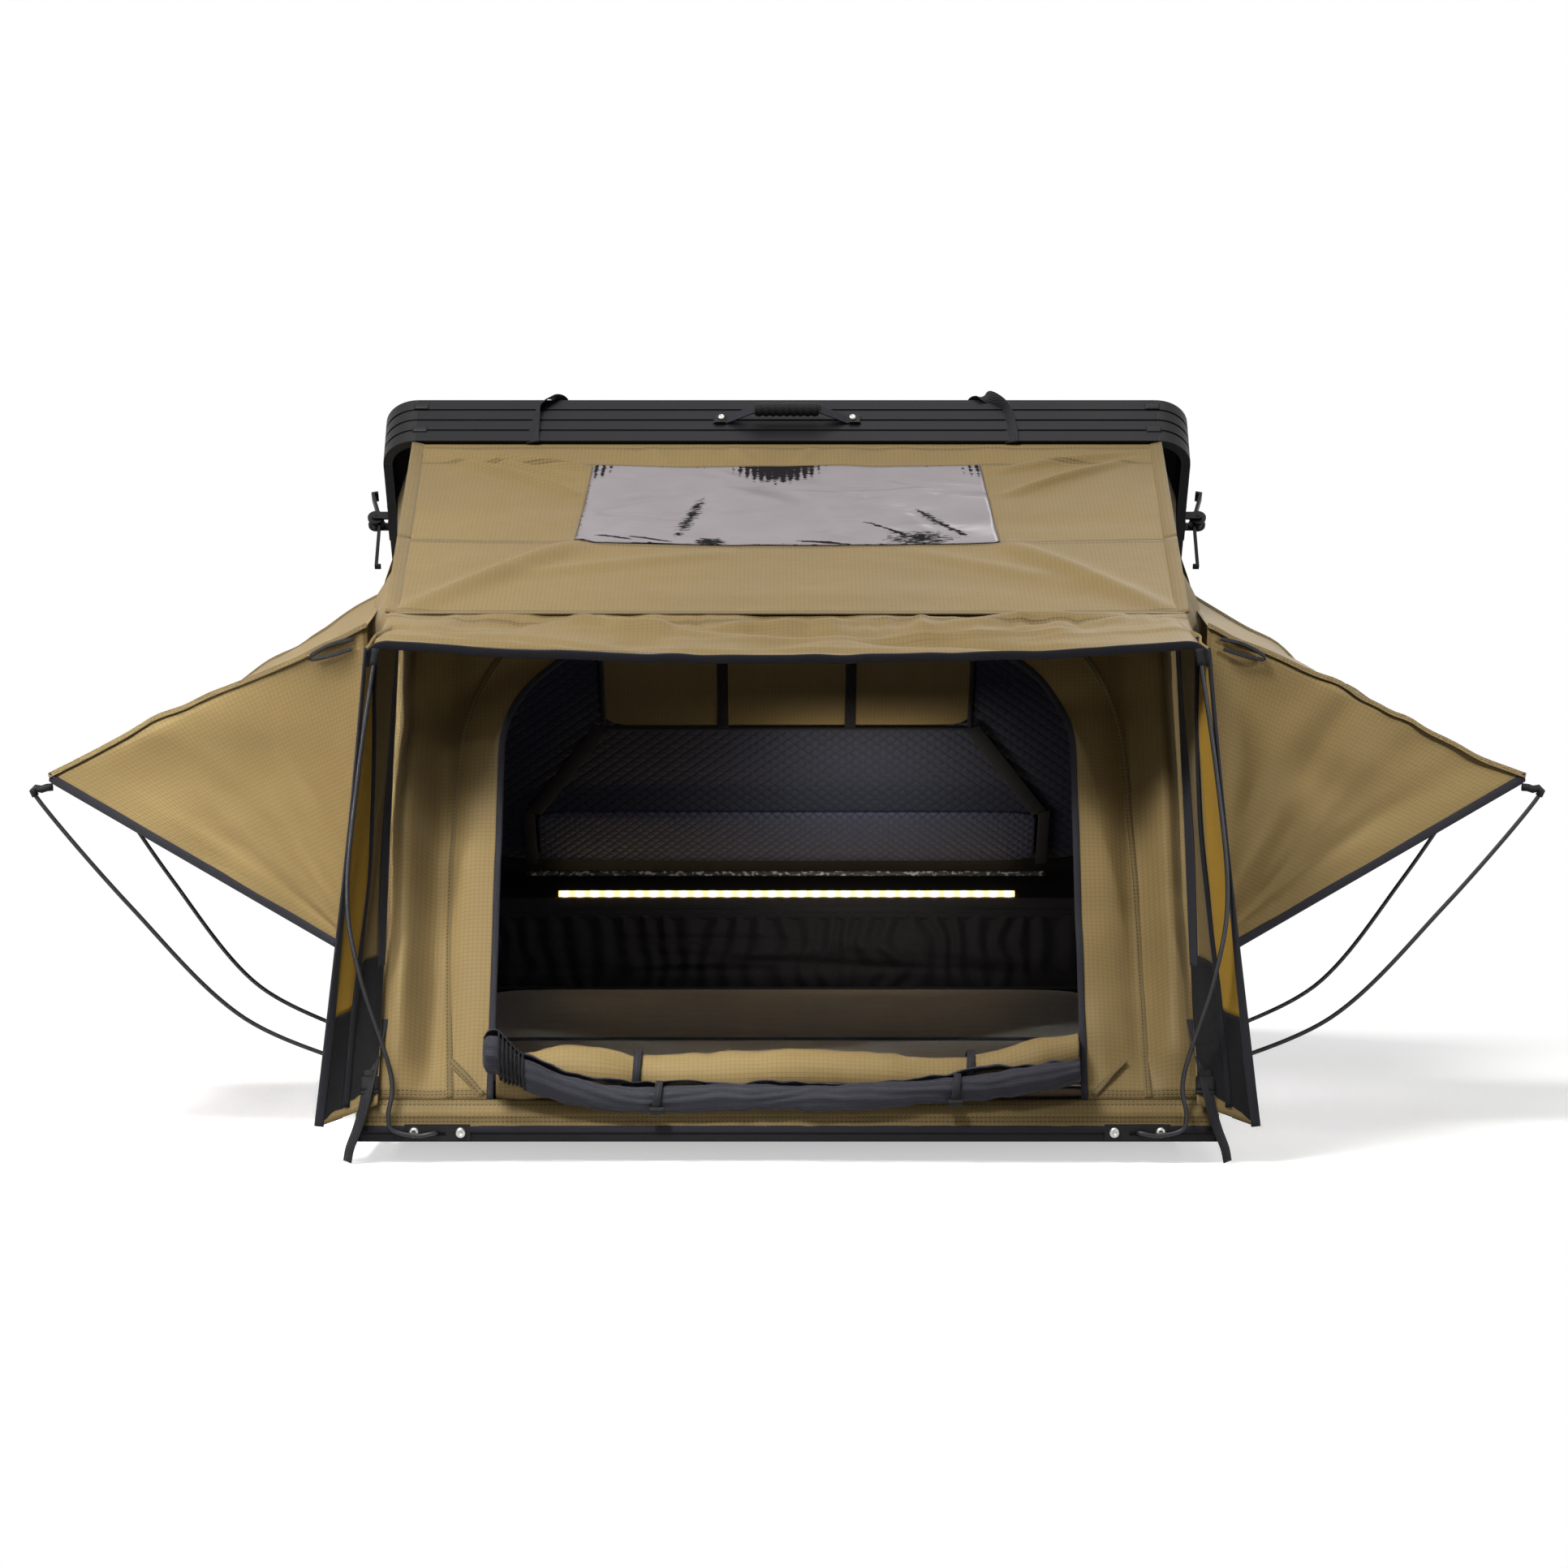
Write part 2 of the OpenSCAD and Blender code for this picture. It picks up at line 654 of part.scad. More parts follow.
wall_half = crease_half;
wall_top = [0, crease_y - 2, crease_z - 7];
function wall_point(x, s) = [x, lerp(wall_y, wall_top[1], s), lerp(wall_z, wall_top[2], s)];
wall_run = wall_point(0, 1) - wall_point(0, 0);
wall_out = unit([0, -wall_run[2], wall_run[1]]);

module front_wall() {
    s0 = 0.028;
    s1 = 0.955;
    ar = arch_r / norm(wall_run);
    flat = door_half - arch_r;
    half_in = concat([for (k = [0:7]) [door_half, lerp(s0, s1 - ar, k / 8)]],
        [for (k = [0:7]) [door_half - arch_r * (1 - cos(90 * k / 8)), s1 - ar * (1 - sin(90 * k / 8))]]);
    half_out = concat([for (k = [0:7]) [wall_half, lerp(s0, 0.74, k / 8)]],
        [for (k = [0:3]) [wall_half, lerp(0.74, 1, k / 4)]],
        [for (k = [0:3]) [lerp(wall_half, flat, k / 4), 1]]);
    top_in = [for (k = [0:8]) [lerp(flat, -flat, k / 8), s1]];
    top_out = [for (k = [0:8]) [lerp(flat, -flat, k / 8), 1]];
    inner = concat(half_in, top_in, [for (k = [15:-1:0]) [-half_in[k][0], half_in[k][1]]]);
    outer = concat(half_out, top_out, [for (k = [15:-1:0]) [-half_out[k][0], half_out[k][1]]]);
    a = [for (q = inner) wall_point(q[0], q[1])];
    b = [for (q = outer) wall_point(q[0], q[1])];
    hem = steps([[-floor_half + 12, 0, 0], [floor_half - 12, 0, 0]], 30);
    color("tan") place() {
        cloth(ruled(a, b, 6, -wall_out * fold_depth, 9), wall_out * sheet_t);
        cloth([for (p = hem) [p + [0, wall_y, 13.6], p + [0, wall_y, wall_z], p + [0, 10.5, 46.6]]],
            [0, -sheet_t, 0.6]);
    }
}

module front_awning() {
    n = 40;
    root = steps([[-crease_half, crease_y - 0.4, crease_z + 0.3],
        [crease_half, crease_y - 0.4, crease_z + 0.3]], n);
    rim = [for (p = root) let(k = p[0] / crease_half)
        [p[0] * (crease_half + 13) / crease_half, edge_y, edge_z - awning_sag * (1 - k * k)]];
    color("tan") place() cloth(ruled(root, rim, 8, [0, 0, -fold_depth * 0.7], 11), [0, -0.4, sheet_t]);
}

module roof_lower() {
    u0 = window_u1 + seam_u;
    high = roof_line([[-roof_half(u0), u0], [roof_half(u0), u0]], 36);
    low = roof_line([[-crease_half, 1], [crease_half, 1]], 36);
    color("tan") place() cloth(ruled(high, low, 8, -roof_up * 2, 9), roof_up * sheet_t);
}

module wings() {
    root = [for (s = [0:12]) wall_point(wall_half + 2, lerp(0.02, 0.985, s / 12)) - [0, 3, 0]];
    rim = smooth([[wall_half + 71, 2, 8], [wall_half + 59, 14, 120], [wall_half + 47, 46, 300],
        [wall_half + 31, 95, 500], [wall_half + 14, edge_y - 2, edge_z - 7]], 3);
    rows = ruled(root, rim, 6, [-fold_depth, 0, 0], 2);
    color("tan") place() {
        cloth(rows, [sheet_t, 0, 0]);
        cloth(mirror_rows(rows), [-sheet_t, 0, 0]);
    }
}

module corner_straps() {
    x = wall_half - 27;
    w = 22;
    t = 2;
    line = [[wall_point(0, 0.198)[1] - 3.1, wall_point(0, 0.198)[2]], [32, 95], [4, 48], [-7, 28],
        [-9, 10], [-10, -channel_h + 4]];
    lean = atan2(28, 47);
    color("black") place() pair() {
        translate([x, 0, 0]) rotate([90, 0, 90]) linear_extrude(w)
            polygon(concat(line, [for (k = [5:-1:0]) line[k] - [t, 0]]));
        translate([x + w / 2, 15.5, 71.5]) rotate([-lean, 0, 0]) cube([30, 6.5, 32], center = true);
    }
}

// Section of a wound roll
module wound(r0, r1, turns, t) {
    n = turns * 24;
    outer = [for (k = [0:n]) lerp(r0, r1, k / n) * [cos(15 * k), sin(15 * k)]];
    inner = [for (k = [n:-1:0]) (lerp(r0, r1, k / n) - t) * [cos(15 * k), sin(15 * k)]];
    polygon(concat(outer, inner));
}

roll_half = door_half - 9;

module door_roll() {
    color("tan") place() translate([-roll_half, 35.4, pan_t + 48.95]) rotate([90, 0, 90])
        linear_extrude(2 * roll_half) wound(13, 41, 3, 7);
}

module mesh_roll() {
    color("gray") place() translate([-roll_half, -14.75, pan_t + 20]) rotate([90, 0, 90])
        linear_extrude(2 * roll_half) rotate([0, 0, 90]) wound(8, 24, 2.5, 4.5);
}

module front_rods() {
    path = concat([[bracket_x, -1.2, 0], [bracket_x + 1, -8, 0], [bracket_x + 8, -12, -1]],
        smooth([[bracket_x + 30, -13, -4], [bracket_x + 64, -13, 4], [bracket_x + 71, -13, 26],
            [bracket_x + 68, -3, 85],
            [wall_half + 9, 14, 225], [wall_half + 31, 46, 345], [wall_half + 19, 92, 520],
            [wall_half - 4, edge_y - 14, edge_z - 8]], 4));
    color("silver") place() pair() rod(path, rod_r);
}

module front_bow() {
    rise = norm([bow_foot_y - bow_bar_y, bow_bar_z - fold_z]);
    lean = atan2(bow_foot_y - bow_bar_y, bow_bar_z - fold_z);
    bend = 80;
    color("silver") place() translate([0, bow_foot_y, fold_z]) difference() {
        rotate([lean, 0, 0]) {
            pair() {
                translate([bow_x, 0, -14]) cylinder(h = rise - bend + 14, r = bow_r);
                translate([bow_x - bend, 0, rise - bend]) rotate([90, 0, 0])
                    rotate_extrude(angle = 90) translate([bend, 0]) circle(bow_r);
            }
            translate([-bow_x + bend, 0, rise]) rotate([0, 90, 0])
                cylinder(h = 2 * (bow_x - bend), r = bow_r);
        }
        translate([-bow_x - 20, 0, 0]) rotate([0, 90, 0])
            cylinder(h = 2 * bow_x + 40, r = bow_pin_r + pin_play);
    }
}

// Sides

function side_x(z) = lerp(keder_x, crease_half + 2.6, (z - 45) / (crease_z - 45));

module side_wall() {
    low = steps([[keder_x, 16, 45.6], [keder_x, floor_len - 7, 45.6]], 24);
    high = steps([[side_x(crease_z), crease_y + 8, crease_z - 6],
        [side_x(crease_z), floor_len - 7, roof_z(floor_len - 7) - 6]], 24);
    translate([keder_x, floor_len - 8, keder_z]) rotate([90, 0, 0])
        cylinder(h = floor_len - frame_w - 20, r = keder_r);
    translate([keder_x - 1, frame_w + 12, keder_z]) cube([2, floor_len - frame_w - 20, 11]);
    cloth(ruled(low, high, 8, [-fold_depth, 0, 0], 7), [sheet_t, 0, 0]);
}

module side_wall_left() {
    color("tan") place() mirror([1, 0, 0]) side_wall();
}

module side_wall_right() {
    color("tan") place() side_wall();
}

module side_awning() {
    off = sheet_t + 0.6;
    f = [side_x(206) + off, 430, 206];
    d = [side_x(crease_z) + off, 432, crease_z - 15];
    e = [side_x(crease_z) + off, floor_len - 9, crease_z + 38];
    g = [side_x(206) + off, floor_len - 9, 206];
    b = [side_reach, 430, 510];
    c = [side_reach - 24, 950, 528];
    root = steps([f, d, e, g], 8);
    rim = steps([f + [7, 0, 0], b, c, g + [7, 0, 0]], 8);
    lift = steps([[0, -sheet_t, 0], [0.9, -1.6, 1.6], [0.9, 1.6, 1.6], [0, sheet_t, 0]], 8);
    rows = ruled(root, rim, 8, [0, 0, -fold_depth], 6);
    cloth_rows(rows, lift);
}

// Closed sheet thickened along one vector to each row
module cloth_rows(rows, lift) {
    n = len(rows);
    m = len(rows[0]);
    back = [for (i = [0:n - 1]) [for (j = [0:m - 1]) rows[i][j] + lift[i]]];
    shell = [for (i = [0:n - 1]) concat(rows[i], [for (j = [m - 1:-1:0]) back[i][j]])];
    k = 2 * m;
    points = [for (r = shell) for (p = r) p];
    walls = [for (i = [0:n - 2]) for (j = [0:k - 1]) let(b = (j + 1) % k) each
        [[i * k + j, (i + 1) * k + j, (i + 1) * k + b], [i * k + j, (i + 1) * k + b, i * k + b]]];
    caps = [for (j = [0:m - 2]) let(a = j, b = j + 1, c = k - 2 - j, d = k - 1 - j, e = (n - 1) * k) each
        [[a, b, c], [a, c, d], [e + c, e + b, e + a], [e + d, e + c, e + a]]];
    polyhedron(points, concat(walls, caps));
}

module side_awning_left() {
    color("tan") place() mirror([1, 0, 0]) side_awning();
}

module side_awning_right() {
    color("tan") place() side_awning();
}

module side_rod_left() {
    color("silver") place() mirror([1, 0, 0]) rod(side_path(side_foot, side_tip), rod_r);
}

module side_rod_right() {
    color("silver") place() rod(side_path(side_foot, side_tip), rod_r);
}

// Latches

hook_turn = 115;
hook_pin_r = 2.5;
seal_gap = 4;

module latch_lever() {
    translate([latch_x, latch_y, latch_z]) rotate([0, -latch_turn, 0]) {
        rotate([90, 0, 0]) cylinder(h = 34, r = latch_pin_r, center = true);
        for (s = [-1, 1]) translate([0, s * 9, 0]) rotate([90, 0, 0])
            cylinder(h = 4, r = 15, center = true);
        translate([latch_throw * cos(hook_turn), 0, latch_throw * sin(hook_turn)])
            rotate([90, 0, 0]) cylinder(h = 20, r = hook_pin_r, center = true);
        translate([4, -11, -62]) cube([5, 22, 54]);
        translate([8, -11, -62]) cube([8, 22, 4]);
    }
}

module latch_hook() {
    rest = hook_turn + latch_turn;
    eye_x = latch_x + latch_throw * cos(rest);
    eye_z = latch_z + latch_throw * sin(rest);
    drop = latch_z + latch_throw * sin(hook_turn) - (tray_h - 45.6) + 4 + seal_gap;
    tip = keeper_out + 0.7 - eye_x;
    translate([eye_x, latch_y, eye_z]) difference() {
        union() {
            rotate([90, 0, 0]) cylinder(h = 10, r = 6, center = true);
            translate([-10, -5, -4]) cube([10, 10, 8]);
            translate([-10, -5, -drop]) cube([5, 10, drop]);
            translate([tip, -5, -drop]) cube([-5 - tip, 10, 4]);
        }
        rotate([90, 0, 0]) cylinder(h = 20, r = hook_pin_r + pin_play, center = true);
    }
}

module latch_lever_left() {
    color("silver") lid_at() mirror([1, 0, 0]) latch_lever();
}

module latch_lever_right() {
    color("silver") lid_at() latch_lever();
}

module latch_hook_left() {
    color("silver") lid_at() mirror([1, 0, 0]) latch_hook();
}

module latch_hook_right() {
    color("silver") lid_at() latch_hook();
}

tray_pan();
tray_sides();
tray_rear();
tray_corners();
front_sill();
mount_channels();
channel_bolts();
tray_mattress();
rear_pocket();
lid_hinge_base();
lid_hinge_pins();
fold_plates_base();
fold_pins();
latch_keepers();
rear_sockets();
rear_rods();
rear_canvas();
lid_rails();
lid_front_rail();
lid_corners();
lid_panel();
lid_hinge_leaf();
handle_grip();
handle_strap();
handle_plates();
lid_straps();
latch_plates();
lid_liner();
organizer();
led_strip();
roof_canvas();
sky_window();
floor_panel();
floor_front_profile();
floor_side_rails();
rod_brackets();
side_sockets();
floor_mattress();
fold_plates_floor();
bow_brackets();
bow_pins();
front_wall();
front_awning();
roof_lower();
wings();
corner_straps();
door_roll();
mesh_roll();
front_rods();
front_bow();
side_wall_left();
side_wall_right();
side_awning_left();
side_awning_right();
side_rod_left();
side_rod_right();
latch_lever_left();
latch_lever_right();
latch_hook_left();
latch_hook_right();
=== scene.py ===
"""Roof top tent: canopy, trims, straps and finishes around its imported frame.

Lengths are in metres. Points are worked out in the tent's own frame, with the front edge
and the underside of the fold-out floor at zero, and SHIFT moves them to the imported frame.
"""

import json
import math

import bmesh
import bpy
import numpy as np
from bpy.props import FloatProperty, FloatVectorProperty, PointerProperty
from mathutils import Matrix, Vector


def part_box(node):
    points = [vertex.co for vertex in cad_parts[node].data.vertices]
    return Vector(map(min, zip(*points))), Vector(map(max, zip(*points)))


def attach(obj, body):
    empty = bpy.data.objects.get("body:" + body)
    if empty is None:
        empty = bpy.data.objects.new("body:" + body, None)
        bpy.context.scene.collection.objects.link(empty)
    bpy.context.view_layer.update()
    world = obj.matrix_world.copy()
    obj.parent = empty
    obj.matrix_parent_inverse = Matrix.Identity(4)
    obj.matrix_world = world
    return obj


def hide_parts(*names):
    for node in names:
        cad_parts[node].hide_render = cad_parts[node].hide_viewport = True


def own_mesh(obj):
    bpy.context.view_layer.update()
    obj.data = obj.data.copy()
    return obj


bl_info = {
    "name": "Roof Top Tent",
    "version": (1, 0, 0),
    "blender": (4, 5, 0),
    "location": "View3D > Sidebar > Tent",
    "description": "Canopy, trims and finishes of a folding roof top tent",
    "category": "Object",
}

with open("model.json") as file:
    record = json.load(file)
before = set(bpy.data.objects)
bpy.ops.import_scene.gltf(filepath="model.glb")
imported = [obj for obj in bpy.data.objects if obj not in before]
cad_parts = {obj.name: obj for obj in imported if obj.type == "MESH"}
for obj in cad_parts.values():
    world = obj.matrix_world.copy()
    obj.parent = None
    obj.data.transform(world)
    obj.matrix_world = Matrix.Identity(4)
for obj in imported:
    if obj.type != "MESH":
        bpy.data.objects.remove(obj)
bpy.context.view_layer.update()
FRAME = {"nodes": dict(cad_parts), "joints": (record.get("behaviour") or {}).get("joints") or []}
NODES = FRAME["nodes"]
JOINTS = {joint["name"]: joint for joint in FRAME["joints"]}
SHIFT = np.array([0.0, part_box("floor_front_profile")[0][1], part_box("floor_panel")[0][2]])
LID_AXIS = np.array(JOINTS["lid_hinge"]["pos_m"]) - SHIFT
FOLD_AXIS = np.array(JOINTS["floor_fold"]["pos_m"]) - SHIFT
FLOOR_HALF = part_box("floor_front_profile")[1][0]
SHELL_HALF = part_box("tray_sides")[1][0]
TRAY_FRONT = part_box("tray_sides")[0][1] - SHIFT[1]
FLOOR_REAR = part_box("floor_panel")[1][1] - SHIFT[1]
PANEL_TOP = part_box("floor_panel")[1][2] - SHIFT[2]
LID_LENGTH = LID_AXIS[1] - TRAY_FRONT
OPEN_ANGLE = math.radians(42.4)
SIDES = ((-1, "left"), (1, "right"))

# Directions square to the roof, square to the front wall, and to the right.
ROOF_UP = np.array([0.0, -0.349, 0.937])
WALL_OUT = np.array([0.0, -0.867, 0.498])
OUTWARD = np.array([1.0, 0.0, 0.0])
# Window edges as shares of the roof from lip to crease, and how much its upper edge is drawn in.
WINDOW_TOP = 0.1305
WINDOW_LOW = 0.585
WINDOW_TAPER = 0.016
# Radius of the front awning's corners, and the door's foot and head as shares of the wall.
AWNING_CORNER = 0.034
DOOR_FOOT = 0.028
DOOR_HEAD = 0.955
# The side canvas swells at the eaves: the height of its fullest place, its spread and its depth.
EAVE_HEIGHT = 0.775
EAVE_SPREAD = 0.10
EAVE_SWELL = 0.040
LINING_GAP = 0.009
# Place of the front rods' brackets from the middle, and the wall of a rod's rubber tip.
ROD_FOOT = FLOOR_HALF - 0.1205
ROD_TIP_WALL = 0.0026
# Width and thickness of a felled seam, and how full a pad is stuffed.
FELLED = (0.012, 0.0030)
# Shares of their height, passed to the fold functions as keep.
CANVAS_KEEP = 0.035
ROOF_KEEP = 0.03
ROD_KEEP = 0.08
BULKY_KEEP = 0.05
SIDE_KEEP = 0.62

# Pitches of the canvas's thick threads and of its weave, and the places of a seam's stitches.
RIPSTOP_PITCH = 0.0068
CANVAS_PITCH = 0.0023
STITCH_ROW = 0.0032
STITCH_HALF = 0.0011
STITCH_PITCH = 0.0062
SEAM_HALF = 0.0060


class TentSizes(bpy.types.PropertyGroup):
    """Driving sizes of the canopy."""

    crease_y: FloatProperty(
        name="Crease Place", description="Crease behind the floor's front edge",
        default=0.420, unit="LENGTH")
    crease_z: FloatProperty(
        name="Crease Height", description="Crease above the floor's underside",
        default=0.762, unit="LENGTH")
    crease_half: FloatProperty(
        name="Crease Half Width", description="Half the canopy's width at the crease",
        default=0.617, unit="LENGTH")
    lip_half: FloatProperty(
        name="Lip Half Width", description="Half the roof's width at the lid",
        default=0.640, unit="LENGTH")
    awning_reach: FloatProperty(
        name="Awning Reach", description="Front awning ahead of the crease",
        default=0.270, unit="LENGTH")
    awning_drop: FloatProperty(
        name="Awning Drop", description="Fall of the front awning at its ends",
        default=0.047, unit="LENGTH")
    awning_sag: FloatProperty(
        name="Awning Sag", description="Further fall of the front awning in its middle",
        default=0.023, unit="LENGTH")
    door_half: FloatProperty(
        name="Door Half Width", description="Half the width of the door opening",
        default=0.436, unit="LENGTH")
    arch_r: FloatProperty(
        name="Arch Radius", description="Corner radius of the door arch",
        default=0.200, unit="LENGTH")
    window_half: FloatProperty(
        name="Window Half Width", description="Half the width of the sky window's lower edge",
        default=0.346, unit="LENGTH")
    side_reach: FloatProperty(
        name="Side Reach", description="Side awning's edge from the middle",
        default=1.148, unit="LENGTH")
    canvas_t: FloatProperty(
        name="Canvas Thickness", description="Thickness of a canvas sheet",
        default=0.0012, unit="LENGTH")
    rod_r: FloatProperty(
        name="Rod Radius", description="Radius of a spring rod",
        default=0.0034, unit="LENGTH")


class TentColours(bpy.types.PropertyGroup):
    """Colours of the tent's finishes."""

    canvas: FloatVectorProperty(
        name="Canvas", description="Khaki of the outer canvas", subtype="COLOR",
        default=(0.245, 0.172, 0.068))
    trim: FloatVectorProperty(
        name="Trim", description="Binding and webbing", subtype="COLOR",
        default=(0.014, 0.014, 0.019))
    mustard: FloatVectorProperty(
        name="Mustard", description="Inner strip of the wings", subtype="COLOR",
        default=(0.420, 0.245, 0.030))
    film: FloatVectorProperty(
        name="Film", description="Sky window film", subtype="COLOR",
        default=(0.290, 0.262, 0.278))
    quilt: FloatVectorProperty(
        name="Quilt", description="Quilted lining", subtype="COLOR",
        default=(0.024, 0.028, 0.050))
    cover: FloatVectorProperty(
        name="Cover", description="Mattress cover", subtype="COLOR",
        default=(0.120, 0.085, 0.055))
    metal: FloatVectorProperty(
        name="Black Metal", description="Anodised rails", subtype="COLOR",
        default=(0.0065, 0.0065, 0.0080))


def sizes():
    """The driving sizes."""
    return bpy.context.scene.tent_sizes


def colours():
    """The colours of the finishes."""
    return bpy.context.scene.tent_colours


class Wire:
    """A socket's value; arithmetic on it adds Math nodes to its finish."""

    def __init__(self, finish, socket):
        self.finish = finish
        self.socket = socket

    def __add__(self, other):
        return self.finish.math("ADD", self, other)

    __radd__ = __add__

    def __sub__(self, other):
        return self.finish.math("SUBTRACT", self, other)

    def __rsub__(self, other):
        return self.finish.math("SUBTRACT", other, self)

    def __mul__(self, other):
        return self.finish.math("MULTIPLY", self, other)

    __rmul__ = __mul__

    def __truediv__(self, other):
        return self.finish.math("DIVIDE", self, other)

    def __pow__(self, other):
        return self.finish.math("POWER", self, other)

    def __abs__(self):
        return self.finish.math("ABSOLUTE", self)

    def wave(self, period):
        """Cosine of that period, from 0 to 1."""
        return self.finish.math("COSINE", self * (2 * math.pi / period)) * 0.5 + 0.5

    def clamp(self):
        """The value held between 0 and 1."""
        return self.finish.math("ADD", self, 0.0, clamp=True)


class Finish:
    """A material and the nodes that make it."""

    WORDS = {"gloss": "Specular IOR Level", "glow": "Emission Strength"}

    def __init__(self, name, **constants):
        self.material = bpy.data.materials.new(name)
        self.material.use_nodes = True
        self.tree = self.material.node_tree
        self.tree.nodes.clear()
        self.output = self.add("ShaderNodeOutputMaterial")
        self.shader = self.add("ShaderNodeBsdfPrincipled")
        self.tree.links.new(self.shader.outputs[0], self.output.inputs[0])
        self.paint(**constants)
        place = self.add("ShaderNodeTexCoord")
        self.object = place.outputs["Object"]
        self.uv = place.outputs["UV"]

    def add(self, kind, settings=None, sockets=None):
        """A node of that kind, with its settings first and then its sockets."""
        node = self.tree.nodes.new(kind)
        for key, value in (settings or {}).items():
            setattr(node, key, value)
        for key, value in (sockets or {}).items():
            self.feed(node.inputs[key], value)
        return node

    def feed(self, socket, value):
        """Links or sets a socket."""
        if isinstance(value, Wire):
            self.tree.links.new(value.socket, socket)
        elif isinstance(value, bpy.types.NodeSocket):
            self.tree.links.new(value, socket)
        elif hasattr(value, "__len__") and len(value) == 3 and len(socket.default_value) == 4:
            socket.default_value = (*value, 1.0)
        else:
            socket.default_value = value

    def math(self, operation, a, b=0.0, clamp=False):
        """One Math node."""
        settings = {"operation": operation, "use_clamp": clamp}
        return Wire(self, self.add("ShaderNodeMath", settings, {0: a, 1: b}).outputs[0])

    def mix(self, share, a, b):
        """Colour a turning to colour b by share."""
        node = self.add("ShaderNodeMix", {"data_type": "RGBA"}, {0: share, 6: a, 7: b})
        return node.outputs[2]

    def tones(self, share, base, dark, light):
        """A colour from a dark to a light multiple of itself by share."""
        return self.mix(share, shade(base, dark), shade(base, light))

    def axes(self, vector):
        """The three parts of a vector."""
        node = self.add("ShaderNodeSeparateXYZ", sockets={0: vector})
        return [Wire(self, out) for out in node.outputs]

    def noise(self, vector, scale, detail=2.0):
        """Soft noise from 0 to 1."""
        node = self.add("ShaderNodeTexNoise", sockets={
            "Vector": vector, "Scale": scale, "Detail": detail})
        return Wire(self, node.outputs[0])

    def stretched(self, vector, scale):
        """A vector drawn out along its axes."""
        node = self.add("ShaderNodeMapping", sockets={"Vector": vector, "Scale": scale})
        return node.outputs[0]

    def bump(self, height, distance, strength):
        """Feeds a height in metres to the shader's normal."""
        node = self.add("ShaderNodeBump", sockets={
            "Height": height, "Distance": distance, "Strength": strength})
        self.feed(self.shader.inputs["Normal"], node.outputs[0])

    def paint(self, **sockets):
        """Feeds the shader's sockets; a word of WORDS or an underscore for a space names each."""
        for word, value in sockets.items():
            name = self.WORDS.get(word) or word.replace("_", " ").title()
            self.feed(self.shader.inputs[name], value)
        return self.material


def shade(colour, factor):
    """A colour times a factor."""
    return tuple(factor * part for part in colour)


def stitch_mask(across, along, place):
    """Two rows of dashes beside a seam: near the row, and on for most of each stitch."""
    off = abs(across - place)
    row = ((STITCH_HALF - abs(off - STITCH_ROW)) * 2500).clamp()
    dash = ((along.wave(STITCH_PITCH) - 0.22) * 8).clamp()
    return row * dash


def seam_groove(across, place):
    """A shallow ditch along a seam, 1 at its middle."""
    return ((SEAM_HALF - abs(across - place)) * 260).clamp()


def canvas(name, seams=(), tone=1.0):
    """Ripstop canvas: a grid of thicker threads over blotched khaki, with stitched seams and painted
    shade in each seam's ditch.

    Each seam is the UV axis that it crosses and its place there, in metres.
    """
    base = shade(colours().canvas, tone)
    finish = Finish(name, sheen_weight=0.24, sheen_roughness=0.42, gloss=0.20,
                    sheen_tint=(0.80, 0.76, 0.70))
    x, y, _ = finish.axes(finish.uv)
    threads = (x.wave(RIPSTOP_PITCH) ** 8.0 + y.wave(RIPSTOP_PITCH) ** 8.0).clamp()
    cells = x.wave(CANVAS_PITCH) * y.wave(CANVAS_PITCH)
    blotch = finish.noise(finish.uv, 4.0, 4.0)
    crumple = finish.noise(finish.uv, 17.0, 5.0)
    grain = finish.noise(finish.uv, 420.0)
    tint = finish.tones((blotch * 1.6 - 0.3).clamp(), base, 0.84, 1.12)
    tint = finish.mix(threads * 0.40, tint, shade(base, 0.52))
    tint = finish.mix(grain * 0.22, tint, shade(base, 1.35))
    height = threads * 0.5 + cells * 0.25 + grain * 0.5 + crumple * 5.0
    for axis, place in seams:
        across, along = (x, y) if axis == 0 else (y, x)
        stitches = stitch_mask(across, along, place)
        groove = seam_groove(across, place)
        # Painted shade: each seam's ditch is darkened as if shadowed.
        tint = finish.mix(groove * 0.34, tint, shade(base, 0.45))
        tint = finish.mix(stitches * 0.8, tint, shade(base, 0.22))
        height = height + stitches * 1.6 - groove * 1.4
    finish.bump(height, 0.0004, 0.8)
    return finish.paint(base_color=tint, roughness=blotch * 0.18 + crumple * 0.12 + 0.46)


def trim_finish(name):
    """Grosgrain binding: fine cross ribs on blue-black tape."""
    base = colours().trim
    finish = Finish(name, sheen_weight=0.08, gloss=0.2)
    _, y, _ = finish.axes(finish.uv)
    ribs = y.wave(0.0016)
    dust = finish.noise(finish.uv, 30.0, 3.0)
    tint = finish.tones(ribs * 0.5, base, 0.8, 1.5)
    tint = finish.mix(dust * 0.35, tint, shade(base, 1.9))
    finish.bump(ribs + dust, 0.0003, 0.6)
    return finish.paint(base_color=tint, roughness=dust * 0.2 + 0.6)


def webbing_finish(name):
    """Woven strap: chevron ribs along black tape with firmer edges."""
    base = shade(colours().trim, 0.85)
    finish = Finish(name, sheen_weight=0.06, gloss=0.2)
    x, y, _ = finish.axes(finish.uv)
    twill = (x + abs(y) * 0.6).wave(0.0032)
    ribs = x.wave(0.0042)
    finish.bump(twill + ribs, 0.0004, 0.8)
    return finish.paint(base_color=finish.tones(twill * 0.6, base, 0.6, 1.8),
                        roughness=ribs * 0.15 + 0.55)


